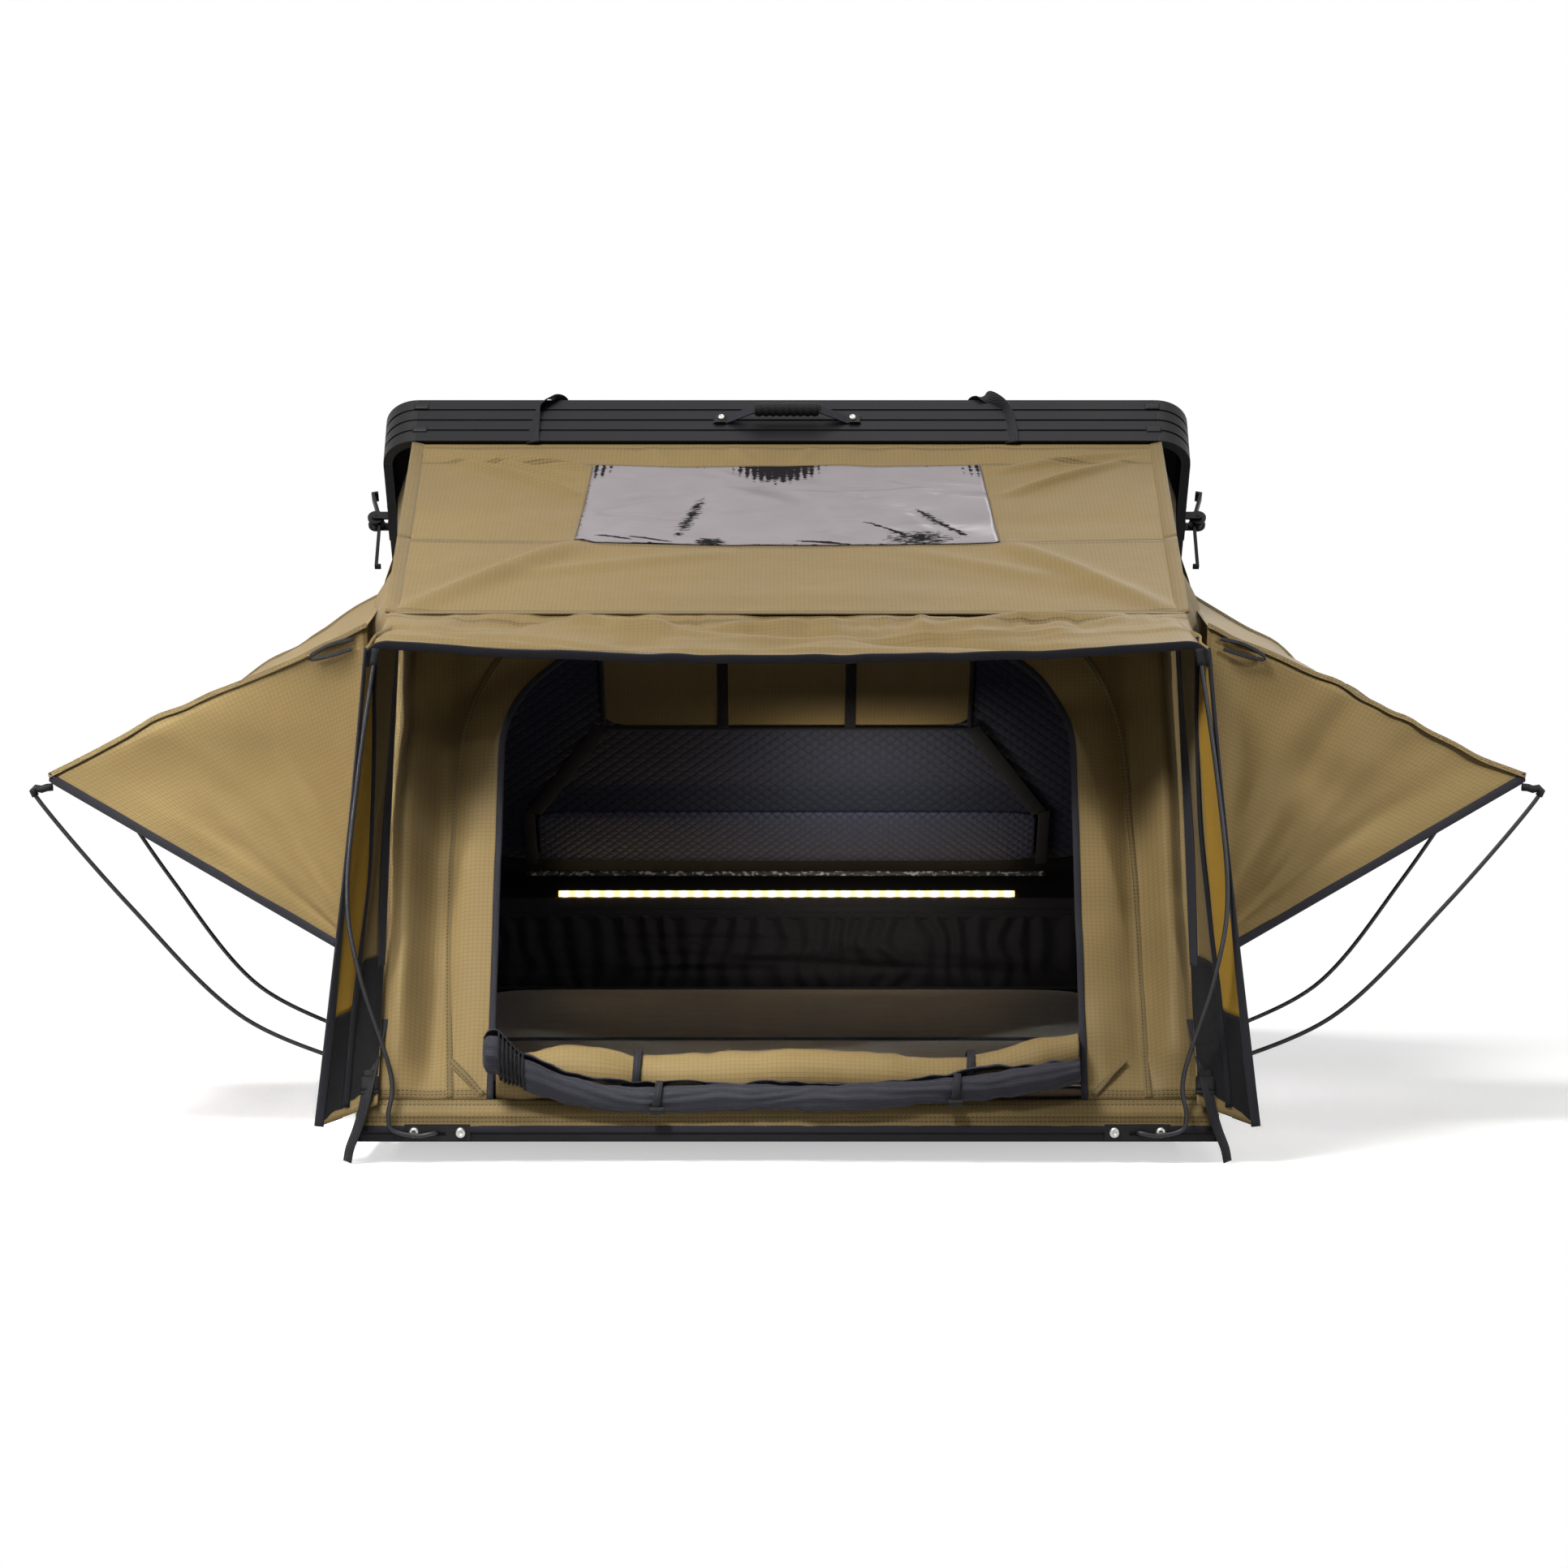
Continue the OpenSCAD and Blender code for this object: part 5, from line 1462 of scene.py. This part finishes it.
def build_rods(look):
    """Front spring rods from their brackets to the awning's corners."""
    s = sizes()
    half = s.crease_half
    base = ROD_FOOT
    spots = [(base, -0.0012, 0), (base + 0.001, -0.008, 0), (base + 0.008, -0.012, -0.001),
             (base + 0.030, -0.013, -0.004), (base + 0.064, -0.013, 0.004),
             (base + 0.071, -0.013, 0.026), (base + 0.068, -0.003, 0.085),
             (half + 0.009, 0.014, 0.225), (half + 0.031, 0.046, 0.345), (half + 0.019, 0.092, 0.520),
             (half - 0.004, s.crease_y - s.awning_reach - 0.014, s.crease_z - s.awning_drop - 0.008)]
    for side, name in SIDES:
        line = curve(spots, 130) * np.array([side, 1, 1])
        spring_rod("front", name, line, look, "floor", ["front_rods"] if side < 0 else [], fold_floor,
                   keep=BULKY_KEEP, anchor=(0, 0.5, 0.02))


def build_straps(look):
    """Corner straps with side-release buckles, and the straps over the lid's lip."""
    x = sizes().crease_half - 0.008
    spots = [(x - 0.010, 0.0705, 0.160), (x, 0.026, 0.098), (x + 0.006, -0.002, 0.060),
             (x + 0.012, -0.0110, 0.030), (x + 0.020, -0.0125, 0.004), (x + 0.030, -0.0135, -0.022),
             (x + 0.034, -0.0125, -0.042)]
    # Each part of a buckle: where it starts and ends along the strap, its half width and depth.
    buckle = (("body", -0.015, 0.006, 0.0135, 0.0042), ("neck", 0.006, 0.017, 0.0095, 0.0034),
              ("bar", -0.021, -0.016, 0.0140, 0.0030))
    count = 70
    for side, name in SIDES:
        line = curve(spots, count) * np.array([side, 1, 1])
        turn = np.linspace(0.2, 1.0, count)[:, None]
        across = np.array([0.75 * side, 0, 0]) + turn * np.array([0, 0.8, 0.1])
        made = [strip(f"corner_strap_{name}", line, across, 0.019, 0.0020, look["webbing"], "floor")]
        if side < 0:
            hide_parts("corner_straps")
        lean = unit(np.array([0.004 * side, 0.034, 0.062]))
        middle = np.array([side * (x + 0.003), 0.010, 0.0740])
        for part, start, end, wide, deep in buckle:
            reach = middle + lean * np.linspace(start, end, 6)[:, None]
            made.append(strip(f"buckle_{part}_{name}", reach, (1, 0, 0), 2 * wide, 2 * deep,
                              look["rubber"], "floor"))
        settle(made, "webbing", fold_floor, keep=BULKY_KEEP, anchor=(0, 0.5, 0.03))
    # Each spot of a lid strap: its share of the sideways drift, and its place off the lid's lip.
    drape = ((0, 0.070, 0.1015), (0, 0.034, 0.1030), (0.1, 0.008, 0.1080), (0.45, -0.0060, 0.101),
             (0.85, -0.0050, 0.078), (0.95, -0.0030, 0.048), (1, -0.0020, 0.018), (1, 0.001, -0.003))
    count = 80
    for name, start, end in (("left", -0.388, -0.438), ("right", 0.322, 0.388)):
        line = curve([lid_point(lerp(start, end, share), -LID_LENGTH + back, up)
                      for share, back, up in drape], count)
        twist = np.interp(np.linspace(0, 1, count), [0, 0.35, 0.6, 1], [0, 0.2, 1.1, 0.25])[:, None]
        across = OUTWARD * np.cos(twist) + np.array([0, -0.7, 0.7]) * np.sin(twist)
        strap = strip(f"lid_strap_{name}", line, across, 0.023, 0.0021, look["webbing"], "lid")
        if name == "left":
            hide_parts("lid_straps")


def bolt_head(name, centre, away, radius, look, body):
    """A domed screw head with a socket: rings about the direction away, a radius and height each."""
    section = radius * np.array([(0, 0.34), (0.36, 0.34), (0.42, 0.62), (0.70, 0.56), (0.93, 0.32),
                                 (1.0, 0.05), (1.0, -0.25), (0, -0.25)])
    away = unit(np.asarray(away, float))
    spare = OUTWARD if abs(away[0]) < 0.7 else np.array([0, 0, 1.0])
    a = unit(np.cross(away, spare))
    b = np.cross(away, a)
    turn = circle(24)
    spokes = turn[:, :1] * a + turn[:, 1:] * b
    points = centre + section[:, None, :1] * spokes[None] + section[:, None, 1:] * away
    piece(name, points, look["bright"], body, closed=True)


def build_bolts(look):
    """Plated bolt heads of the handle, the rod brackets and the latches, and the lid's corner tabs."""
    ahead = (0, -math.cos(OPEN_ANGLE), math.sin(OPEN_ANGLE))
    upward = (0, math.sin(OPEN_ANGLE), math.cos(OPEN_ANGLE))
    small = 0.0062
    for side, name in SIDES:
        spot = lid_point(side * 0.1135, -LID_LENGTH - 0.0070, 0.050)
        bolt_head(f"handle_bolt_{name}", spot, ahead, small, look, "lid")
        for part, step in (("inner", -0.034), ("outer", 0.034)):
            spot = point(side * (ROD_FOOT + step), -0.0064, 0.0)
            bolt_head(f"bracket_bolt_{part}_{name}", spot, (0, -1, 0), 0.0080, look, "floor")
        for part, step in (("front", -0.015), ("rear", 0.015)):
            spot = lid_point(side * (SHELL_HALF + 0.0040), -LID_LENGTH + 0.240 + step, 0.062)
            bolt_head(f"latch_bolt_{part}_{name}", spot, (side, 0, 0), small, look, "lid")
        for part, height in (("upper", 0.084), ("lower", 0.028)):
            line = lid_point(side * np.linspace(0.647, 0.622, 8), -LID_LENGTH - 0.0004, height)
            tab = strip(f"corner_tab_{part}_{name}", line, upward, 0.013, 0.0026, look["casting"],
                        "lid")


CAD_LOOKS = {
    "metal": ["tray_sides", "tray_rear", "front_sill", "lid_rails", "lid_front_rail",
              "floor_front_profile", "floor_side_rails"],
    "casting": ["tray_corners", "lid_corners", "handle_plates", "rod_brackets", "fold_plates_base",
                "fold_plates_floor", "bow_brackets"],
    "channel": ["mount_channels"],
    "panel": ["tray_pan", "lid_panel", "floor_panel"],
    "rubber": ["handle_grip", "side_sockets", "rear_sockets"],
    "webbing": ["handle_strap"],
    "steel": ["channel_bolts", "lid_hinge_pins", "fold_pins", "bow_pins"],
    "plate": ["latch_lever_left", "latch_lever_right", "latch_hook_left", "latch_hook_right",
              "latch_plates", "latch_keepers", "lid_hinge_base", "lid_hinge_leaf"],
    "tube": ["front_bow"],
    "light": ["led_strip"],
}


def looks():
    """The finishes shared between pieces, each made once and then found by its name."""
    c = colours()
    table = {
        "canvas": (canvas, "tent_canvas"),
        "felled": (canvas, "felled_seam", [(0, 0.006), (0, 0.019)], 0.86),
        "trim": (trim_finish, "binding_tape"),
        "webbing": (webbing_finish, "strap_webbing"),
        "mustard": (strip_finish, "mustard_tape", c.mustard),
        "fastener": (strip_finish, "hook_loop_tape", shade(c.canvas, 0.8), 0.0016),
        "zip": (strip_finish, "zip_coil", shade(c.trim, 0.6), 0.0030),
        "pocket": (strip_finish, "pocket_cloth", (0.026, 0.025, 0.031), 0.003),
        "foot": (strip_finish, "wing_foot_cloth", (0.0035, 0.0035, 0.0045), 0.003),
        "film": (film_finish, "window_film"),
        "quilt": (quilt_finish, "side_quilt", 1.0, 0.026),
        "lid_quilt": (quilt_finish, "lid_quilt_cloth", 1.25, 0.026),
        # Painted light: the lining's quilt at 2.4 times its tone, as if lit by the light strip.
        "bright_quilt": (quilt_finish, "bright_quilt", 2.4, 0.020),
        "cover": (cover_finish, "mattress_cover"),
        "mesh": (mesh_finish, "fly_mesh"),
        "lustre": (glint_finish, "lustre_tape"),
        "metal": (metal_finish, "anodised_rail"),
        "channel": (metal_finish, "channel_rail", 1.6, 0.4),
        "plate": (metal_finish, "dark_plate", 1.2, 0.40),
        "casting": (plastic_finish, "corner_casting", 0.9, 0.42),
        "panel": (plastic_finish, "panel_skin", 1.3, 0.55),
        "rubber": (plastic_finish, "soft_rubber", 0.8, 0.6),
        "steel": (steel_finish, "plated_steel", (0.46, 0.46, 0.47), 0.22),
        "bright": (steel_finish, "bright_plate", (0.62, 0.61, 0.58), 0.16),
        "tube": (steel_finish, "bow_tube_finish", (0.30, 0.30, 0.32), 0.30),
        "rod": (steel_finish, "spring_steel", (0.050, 0.050, 0.055), 0.30),
        "light": (light_finish, "light_beads"),
    }
    made = bpy.data.materials
    return {key: made.get(name) or make(name, *settings)
            for key, (make, name, *settings) in table.items()}


def dress_frame(look):
    """Gives every rigid CAD piece its finish."""
    for key, names in CAD_LOOKS.items():
        for name in names:
            materials = NODES[name].data.materials
            materials.clear()
            materials.append(look[key])


def lamp(name, place, aim, size, power, tint=(1, 1, 1), spread=180):
    """A soft square lamp at a place, facing a point, that the camera doesn't see."""
    data = bpy.data.lights.new(name, "AREA")
    data.shape = "SQUARE"
    data.size = size
    data.energy = power
    data.color = tint
    data.spread = math.radians(spread)
    made = bpy.data.objects.new(name, data)
    bpy.context.scene.collection.objects.link(made)
    made.location = place
    away = np.array(place, float) - np.array(aim, float)
    flat = math.hypot(away[0], away[1])
    made.rotation_euler = (math.atan2(flat, away[2]), 0, math.atan2(away[0], -away[1]))
    made.visible_camera = False
    return made


def direct_ray(tree):
    """1 for rays from the camera, a mirror or glass, which see the white surroundings."""
    path = tree.nodes.new("ShaderNodeLightPath")
    seen = path.outputs["Is Camera Ray"]
    for name in ("Is Glossy Ray", "Is Transmission Ray"):
        larger = tree.nodes.new("ShaderNodeMath")
        larger.operation = "MAXIMUM"
        tree.links.new(seen, larger.inputs[0])
        tree.links.new(path.outputs[name], larger.inputs[1])
        seen = larger.outputs[0]
    return seen


def seen_or_cast(tree, seen, cast, output):
    """Joins two shaders: one for rays that see the surroundings, one for the light they cast."""
    both = tree.nodes.new("ShaderNodeMixShader")
    tree.links.new(direct_ray(tree), both.inputs[0])
    tree.links.new(cast.outputs[0], both.inputs[1])
    tree.links.new(seen.outputs[0], both.inputs[2])
    tree.links.new(both.outputs[0], output.inputs[0])


def studio_camera():
    """The camera at the photograph's viewing angle."""
    view = bpy.data.cameras.new("photo_camera")
    view.lens = 105
    view.sensor_width = 36
    view.clip_end = 200
    camera = bpy.data.objects.new("photo_camera", view)
    bpy.context.scene.collection.objects.link(camera)
    camera.location = (-0.005, -8.1984, 0.7296)
    camera.rotation_euler = (math.radians(88.5), 0, 0)
    bpy.context.scene.camera = camera
    return camera


def studio_floor():
    """A pale floor that keeps the object's shadow and fades to white away from it."""
    mesh = bpy.data.meshes.new("studio_floor")
    far = 60.0
    corners = [(-far, -far, 0), (far, -far, 0), (far, far, 0), (-far, far, 0)]
    mesh.from_pydata(corners, [], [(0, 1, 2, 3)])
    ground = bpy.data.objects.new("studio_floor", mesh)
    bpy.context.scene.collection.objects.link(ground)
    finish = Finish("studio_floor", roughness=0.9, gloss=0.0, glow=1.0)
    x, y, _ = finish.axes(finish.object)
    away = finish.math("SQRT", x * x + y * y)
    fade = ((away - 1.1) / 1.5).clamp()
    speck = finish.noise(finish.object, 40.0)
    pale = finish.mix(speck, (0.88, 0.88, 0.88), (0.90, 0.90, 0.90))
    finish.paint(base_color=finish.mix(fade, pale, (0.0, 0.0, 0.0)),
                 emission_color=finish.mix(fade, (0.42, 0.42, 0.42), (1.0, 1.0, 1.0)))
    plain = finish.add("ShaderNodeBsdfDiffuse", sockets={"Color": (0.40, 0.40, 0.40)})
    seen_or_cast(finish.tree, finish.shader, plain, finish.output)
    mesh.materials.append(finish.material)
    return ground


def studio_world():
    """White surroundings that cast a little cool light."""
    world = bpy.data.worlds.new("studio")
    world.use_nodes = True
    tree = world.node_tree
    tree.nodes.clear()
    seen = tree.nodes.new("ShaderNodeBackground")
    seen.inputs["Strength"].default_value = 1.0
    seen.inputs["Color"].default_value = (1, 1, 1, 1)
    cast = tree.nodes.new("ShaderNodeBackground")
    cast.inputs["Strength"].default_value = 0.06
    cast.inputs["Color"].default_value = (0.96, 0.98, 1.0, 1)
    seen_or_cast(tree, seen, cast, tree.nodes.new("ShaderNodeOutputWorld"))
    bpy.context.scene.world = world


def build_stage():
    """Camera, pale floor, white surroundings and soft lamps."""
    camera = studio_camera()
    ground = studio_floor()
    studio_world()
    lamps = [lamp("key_lamp", (-2.2, -3.3, 5.4), (0, -1.2, 0.5), 1.6, 320, (1.0, 0.985, 0.96)),
             lamp("top_lamp", (0.8, -0.6, 5.0), (0, -0.6, 0.5), 2.6, 45),
             lamp("rear_lamp", (1.6, 4.6, 3.6), (0, 0.3, 0.4), 2.0, 65),
             lamp("left_lamp", (-4.2, -4.4, 2.6), (-1.00, -1.1, 0.50), 0.6, 3.5, spread=14),
             lamp("right_lamp", (4.2, -4.4, 2.6), (1.00, -1.1, 0.50), 0.6, 1.9, spread=14),
             lamp("front_lamp", (-1.2, -5.2, 3.6), (-0.15, -1.5, 0.14), 0.6, 1.3, spread=10),
             lamp("inner_lamp", row_point(0, 0.46, 0.65), row_point(0, 1.7, 0.52), 0.16, 1.1),
             lamp("strip_glow", row_point(0.15, 1.78, 0.34), row_point(0.15, 2.1, 0.36), 0.30, 0.8,
                  (1.0, 0.90, 0.74))]
    bpy.context.scene.view_settings.view_transform = "Standard"


class TENT_OT_stage(bpy.types.Operator):
    """Sets the camera, the floor and the lamps"""

    bl_idname = "tent.stage"
    bl_label = "Stage"
    bl_options = {"REGISTER", "UNDO"}

    def execute(self, context):
        build_stage()
        return {"FINISHED"}


class TENT_OT_frame(bpy.types.Operator):
    """Gives the rigid pieces their finishes"""

    bl_idname = "tent.frame"
    bl_label = "Frame"
    bl_options = {"REGISTER", "UNDO"}

    def execute(self, context):
        dress_frame(looks())
        return {"FINISHED"}


class TENT_OT_roof(bpy.types.Operator):
    """Builds the roof canvas and the sky window"""

    bl_idname = "tent.roof"
    bl_label = "Roof"
    bl_options = {"REGISTER", "UNDO"}

    def execute(self, context):
        build_roof(looks())
        return {"FINISHED"}


class TENT_OT_awning(bpy.types.Operator):
    """Builds the front awning"""

    bl_idname = "tent.awning"
    bl_label = "Front Awning"
    bl_options = {"REGISTER", "UNDO"}

    def execute(self, context):
        build_awning(looks())
        return {"FINISHED"}


class TENT_OT_front_wall(bpy.types.Operator):
    """Builds the front wall around the door"""

    bl_idname = "tent.front_wall"
    bl_label = "Front Wall"
    bl_options = {"REGISTER", "UNDO"}

    def execute(self, context):
        build_front_wall(looks())
        return {"FINISHED"}


class TENT_OT_wings(bpy.types.Operator):
    """Builds the wings beside the door and their tapes"""

    bl_idname = "tent.wings"
    bl_label = "Wings"
    bl_options = {"REGISTER", "UNDO"}

    def execute(self, context):
        build_wings(looks())
        return {"FINISHED"}


class TENT_OT_sides(bpy.types.Operator):
    """Builds the side walls, the side awnings and their rods"""

    bl_idname = "tent.sides"
    bl_label = "Sides"
    bl_options = {"REGISTER", "UNDO"}

    def execute(self, context):
        build_sides(looks())
        return {"FINISHED"}


class TENT_OT_rear(bpy.types.Operator):
    """Builds the canvas between tray and lid"""

    bl_idname = "tent.rear"
    bl_label = "Rear Canvas"
    bl_options = {"REGISTER", "UNDO"}

    def execute(self, context):
        build_rear(looks())
        return {"FINISHED"}


class TENT_OT_mattress(bpy.types.Operator):
    """Builds the two mattress halves"""

    bl_idname = "tent.mattress"
    bl_label = "Mattress"
    bl_options = {"REGISTER", "UNDO"}

    def execute(self, context):
        build_mattress(looks())
        return {"FINISHED"}


class TENT_OT_lining(bpy.types.Operator):
    """Builds the quilted lid lining and the organizer"""

    bl_idname = "tent.lining"
    bl_label = "Lid Lining"
    bl_options = {"REGISTER", "UNDO"}

    def execute(self, context):
        build_lining(looks())
        return {"FINISHED"}


class TENT_OT_pocket(bpy.types.Operator):
    """Builds the gathered pocket and the hinge cover"""

    bl_idname = "tent.pocket"
    bl_label = "Rear Pocket"
    bl_options = {"REGISTER", "UNDO"}

    def execute(self, context):
        build_pocket(looks())
        return {"FINISHED"}


class TENT_OT_rolls(bpy.types.Operator):
    """Builds the rolled door and the rolled mesh"""

    bl_idname = "tent.rolls"
    bl_label = "Rolled Door"
    bl_options = {"REGISTER", "UNDO"}

    def execute(self, context):
        build_rolls(looks())
        return {"FINISHED"}


class TENT_OT_rods(bpy.types.Operator):
    """Builds the front spring rods"""

    bl_idname = "tent.rods"
    bl_label = "Front Rods"
    bl_options = {"REGISTER", "UNDO"}

    def execute(self, context):
        build_rods(looks())
        return {"FINISHED"}


class TENT_OT_straps(bpy.types.Operator):
    """Builds the corner straps and the lid straps"""

    bl_idname = "tent.straps"
    bl_label = "Straps"
    bl_options = {"REGISTER", "UNDO"}

    def execute(self, context):
        build_straps(looks())
        return {"FINISHED"}


class TENT_OT_bolts(bpy.types.Operator):
    """Builds the bolt heads and the lid's corner tabs"""

    bl_idname = "tent.bolts"
    bl_label = "Bolt Heads"
    bl_options = {"REGISTER", "UNDO"}

    def execute(self, context):
        build_bolts(looks())
        return {"FINISHED"}


OPERATORS = (TENT_OT_stage, TENT_OT_frame, TENT_OT_roof, TENT_OT_awning, TENT_OT_front_wall,
             TENT_OT_wings, TENT_OT_sides, TENT_OT_rear, TENT_OT_mattress, TENT_OT_lining,
             TENT_OT_pocket, TENT_OT_rolls, TENT_OT_rods, TENT_OT_straps, TENT_OT_bolts)


class TENT_PT_tools(bpy.types.Panel):
    """Lists the tent's pieces and sizes"""

    bl_idname = "TENT_PT_tools"
    bl_label = "Roof Top Tent"
    bl_space_type = "VIEW_3D"
    bl_region_type = "UI"
    bl_category = "Tent"

    def draw(self, context):
        layout = self.layout
        for operator in OPERATORS:
            layout.operator(operator.bl_idname)
        for key in TentSizes.__annotations__:
            layout.prop(context.scene.tent_sizes, key)
        for key in TentColours.__annotations__:
            layout.prop(context.scene.tent_colours, key)


CLASSES = (TentSizes, TentColours, *OPERATORS, TENT_PT_tools)


def register():
    """Adds the classes and the scene's settings."""
    for item in CLASSES:
        bpy.utils.register_class(item)
    bpy.types.Scene.tent_sizes = PointerProperty(type=TentSizes)
    bpy.types.Scene.tent_colours = PointerProperty(type=TentColours)


def unregister():
    """Takes the classes and settings away."""
    del bpy.types.Scene.tent_colours
    del bpy.types.Scene.tent_sizes
    for item in reversed(CLASSES):
        bpy.utils.unregister_class(item)


def main():
    """Builds every piece."""
    register()
    for operator in OPERATORS:
        group, name = operator.bl_idname.split(".")
        getattr(getattr(bpy.ops, group), name)()


if __name__ == "__main__":
    main()
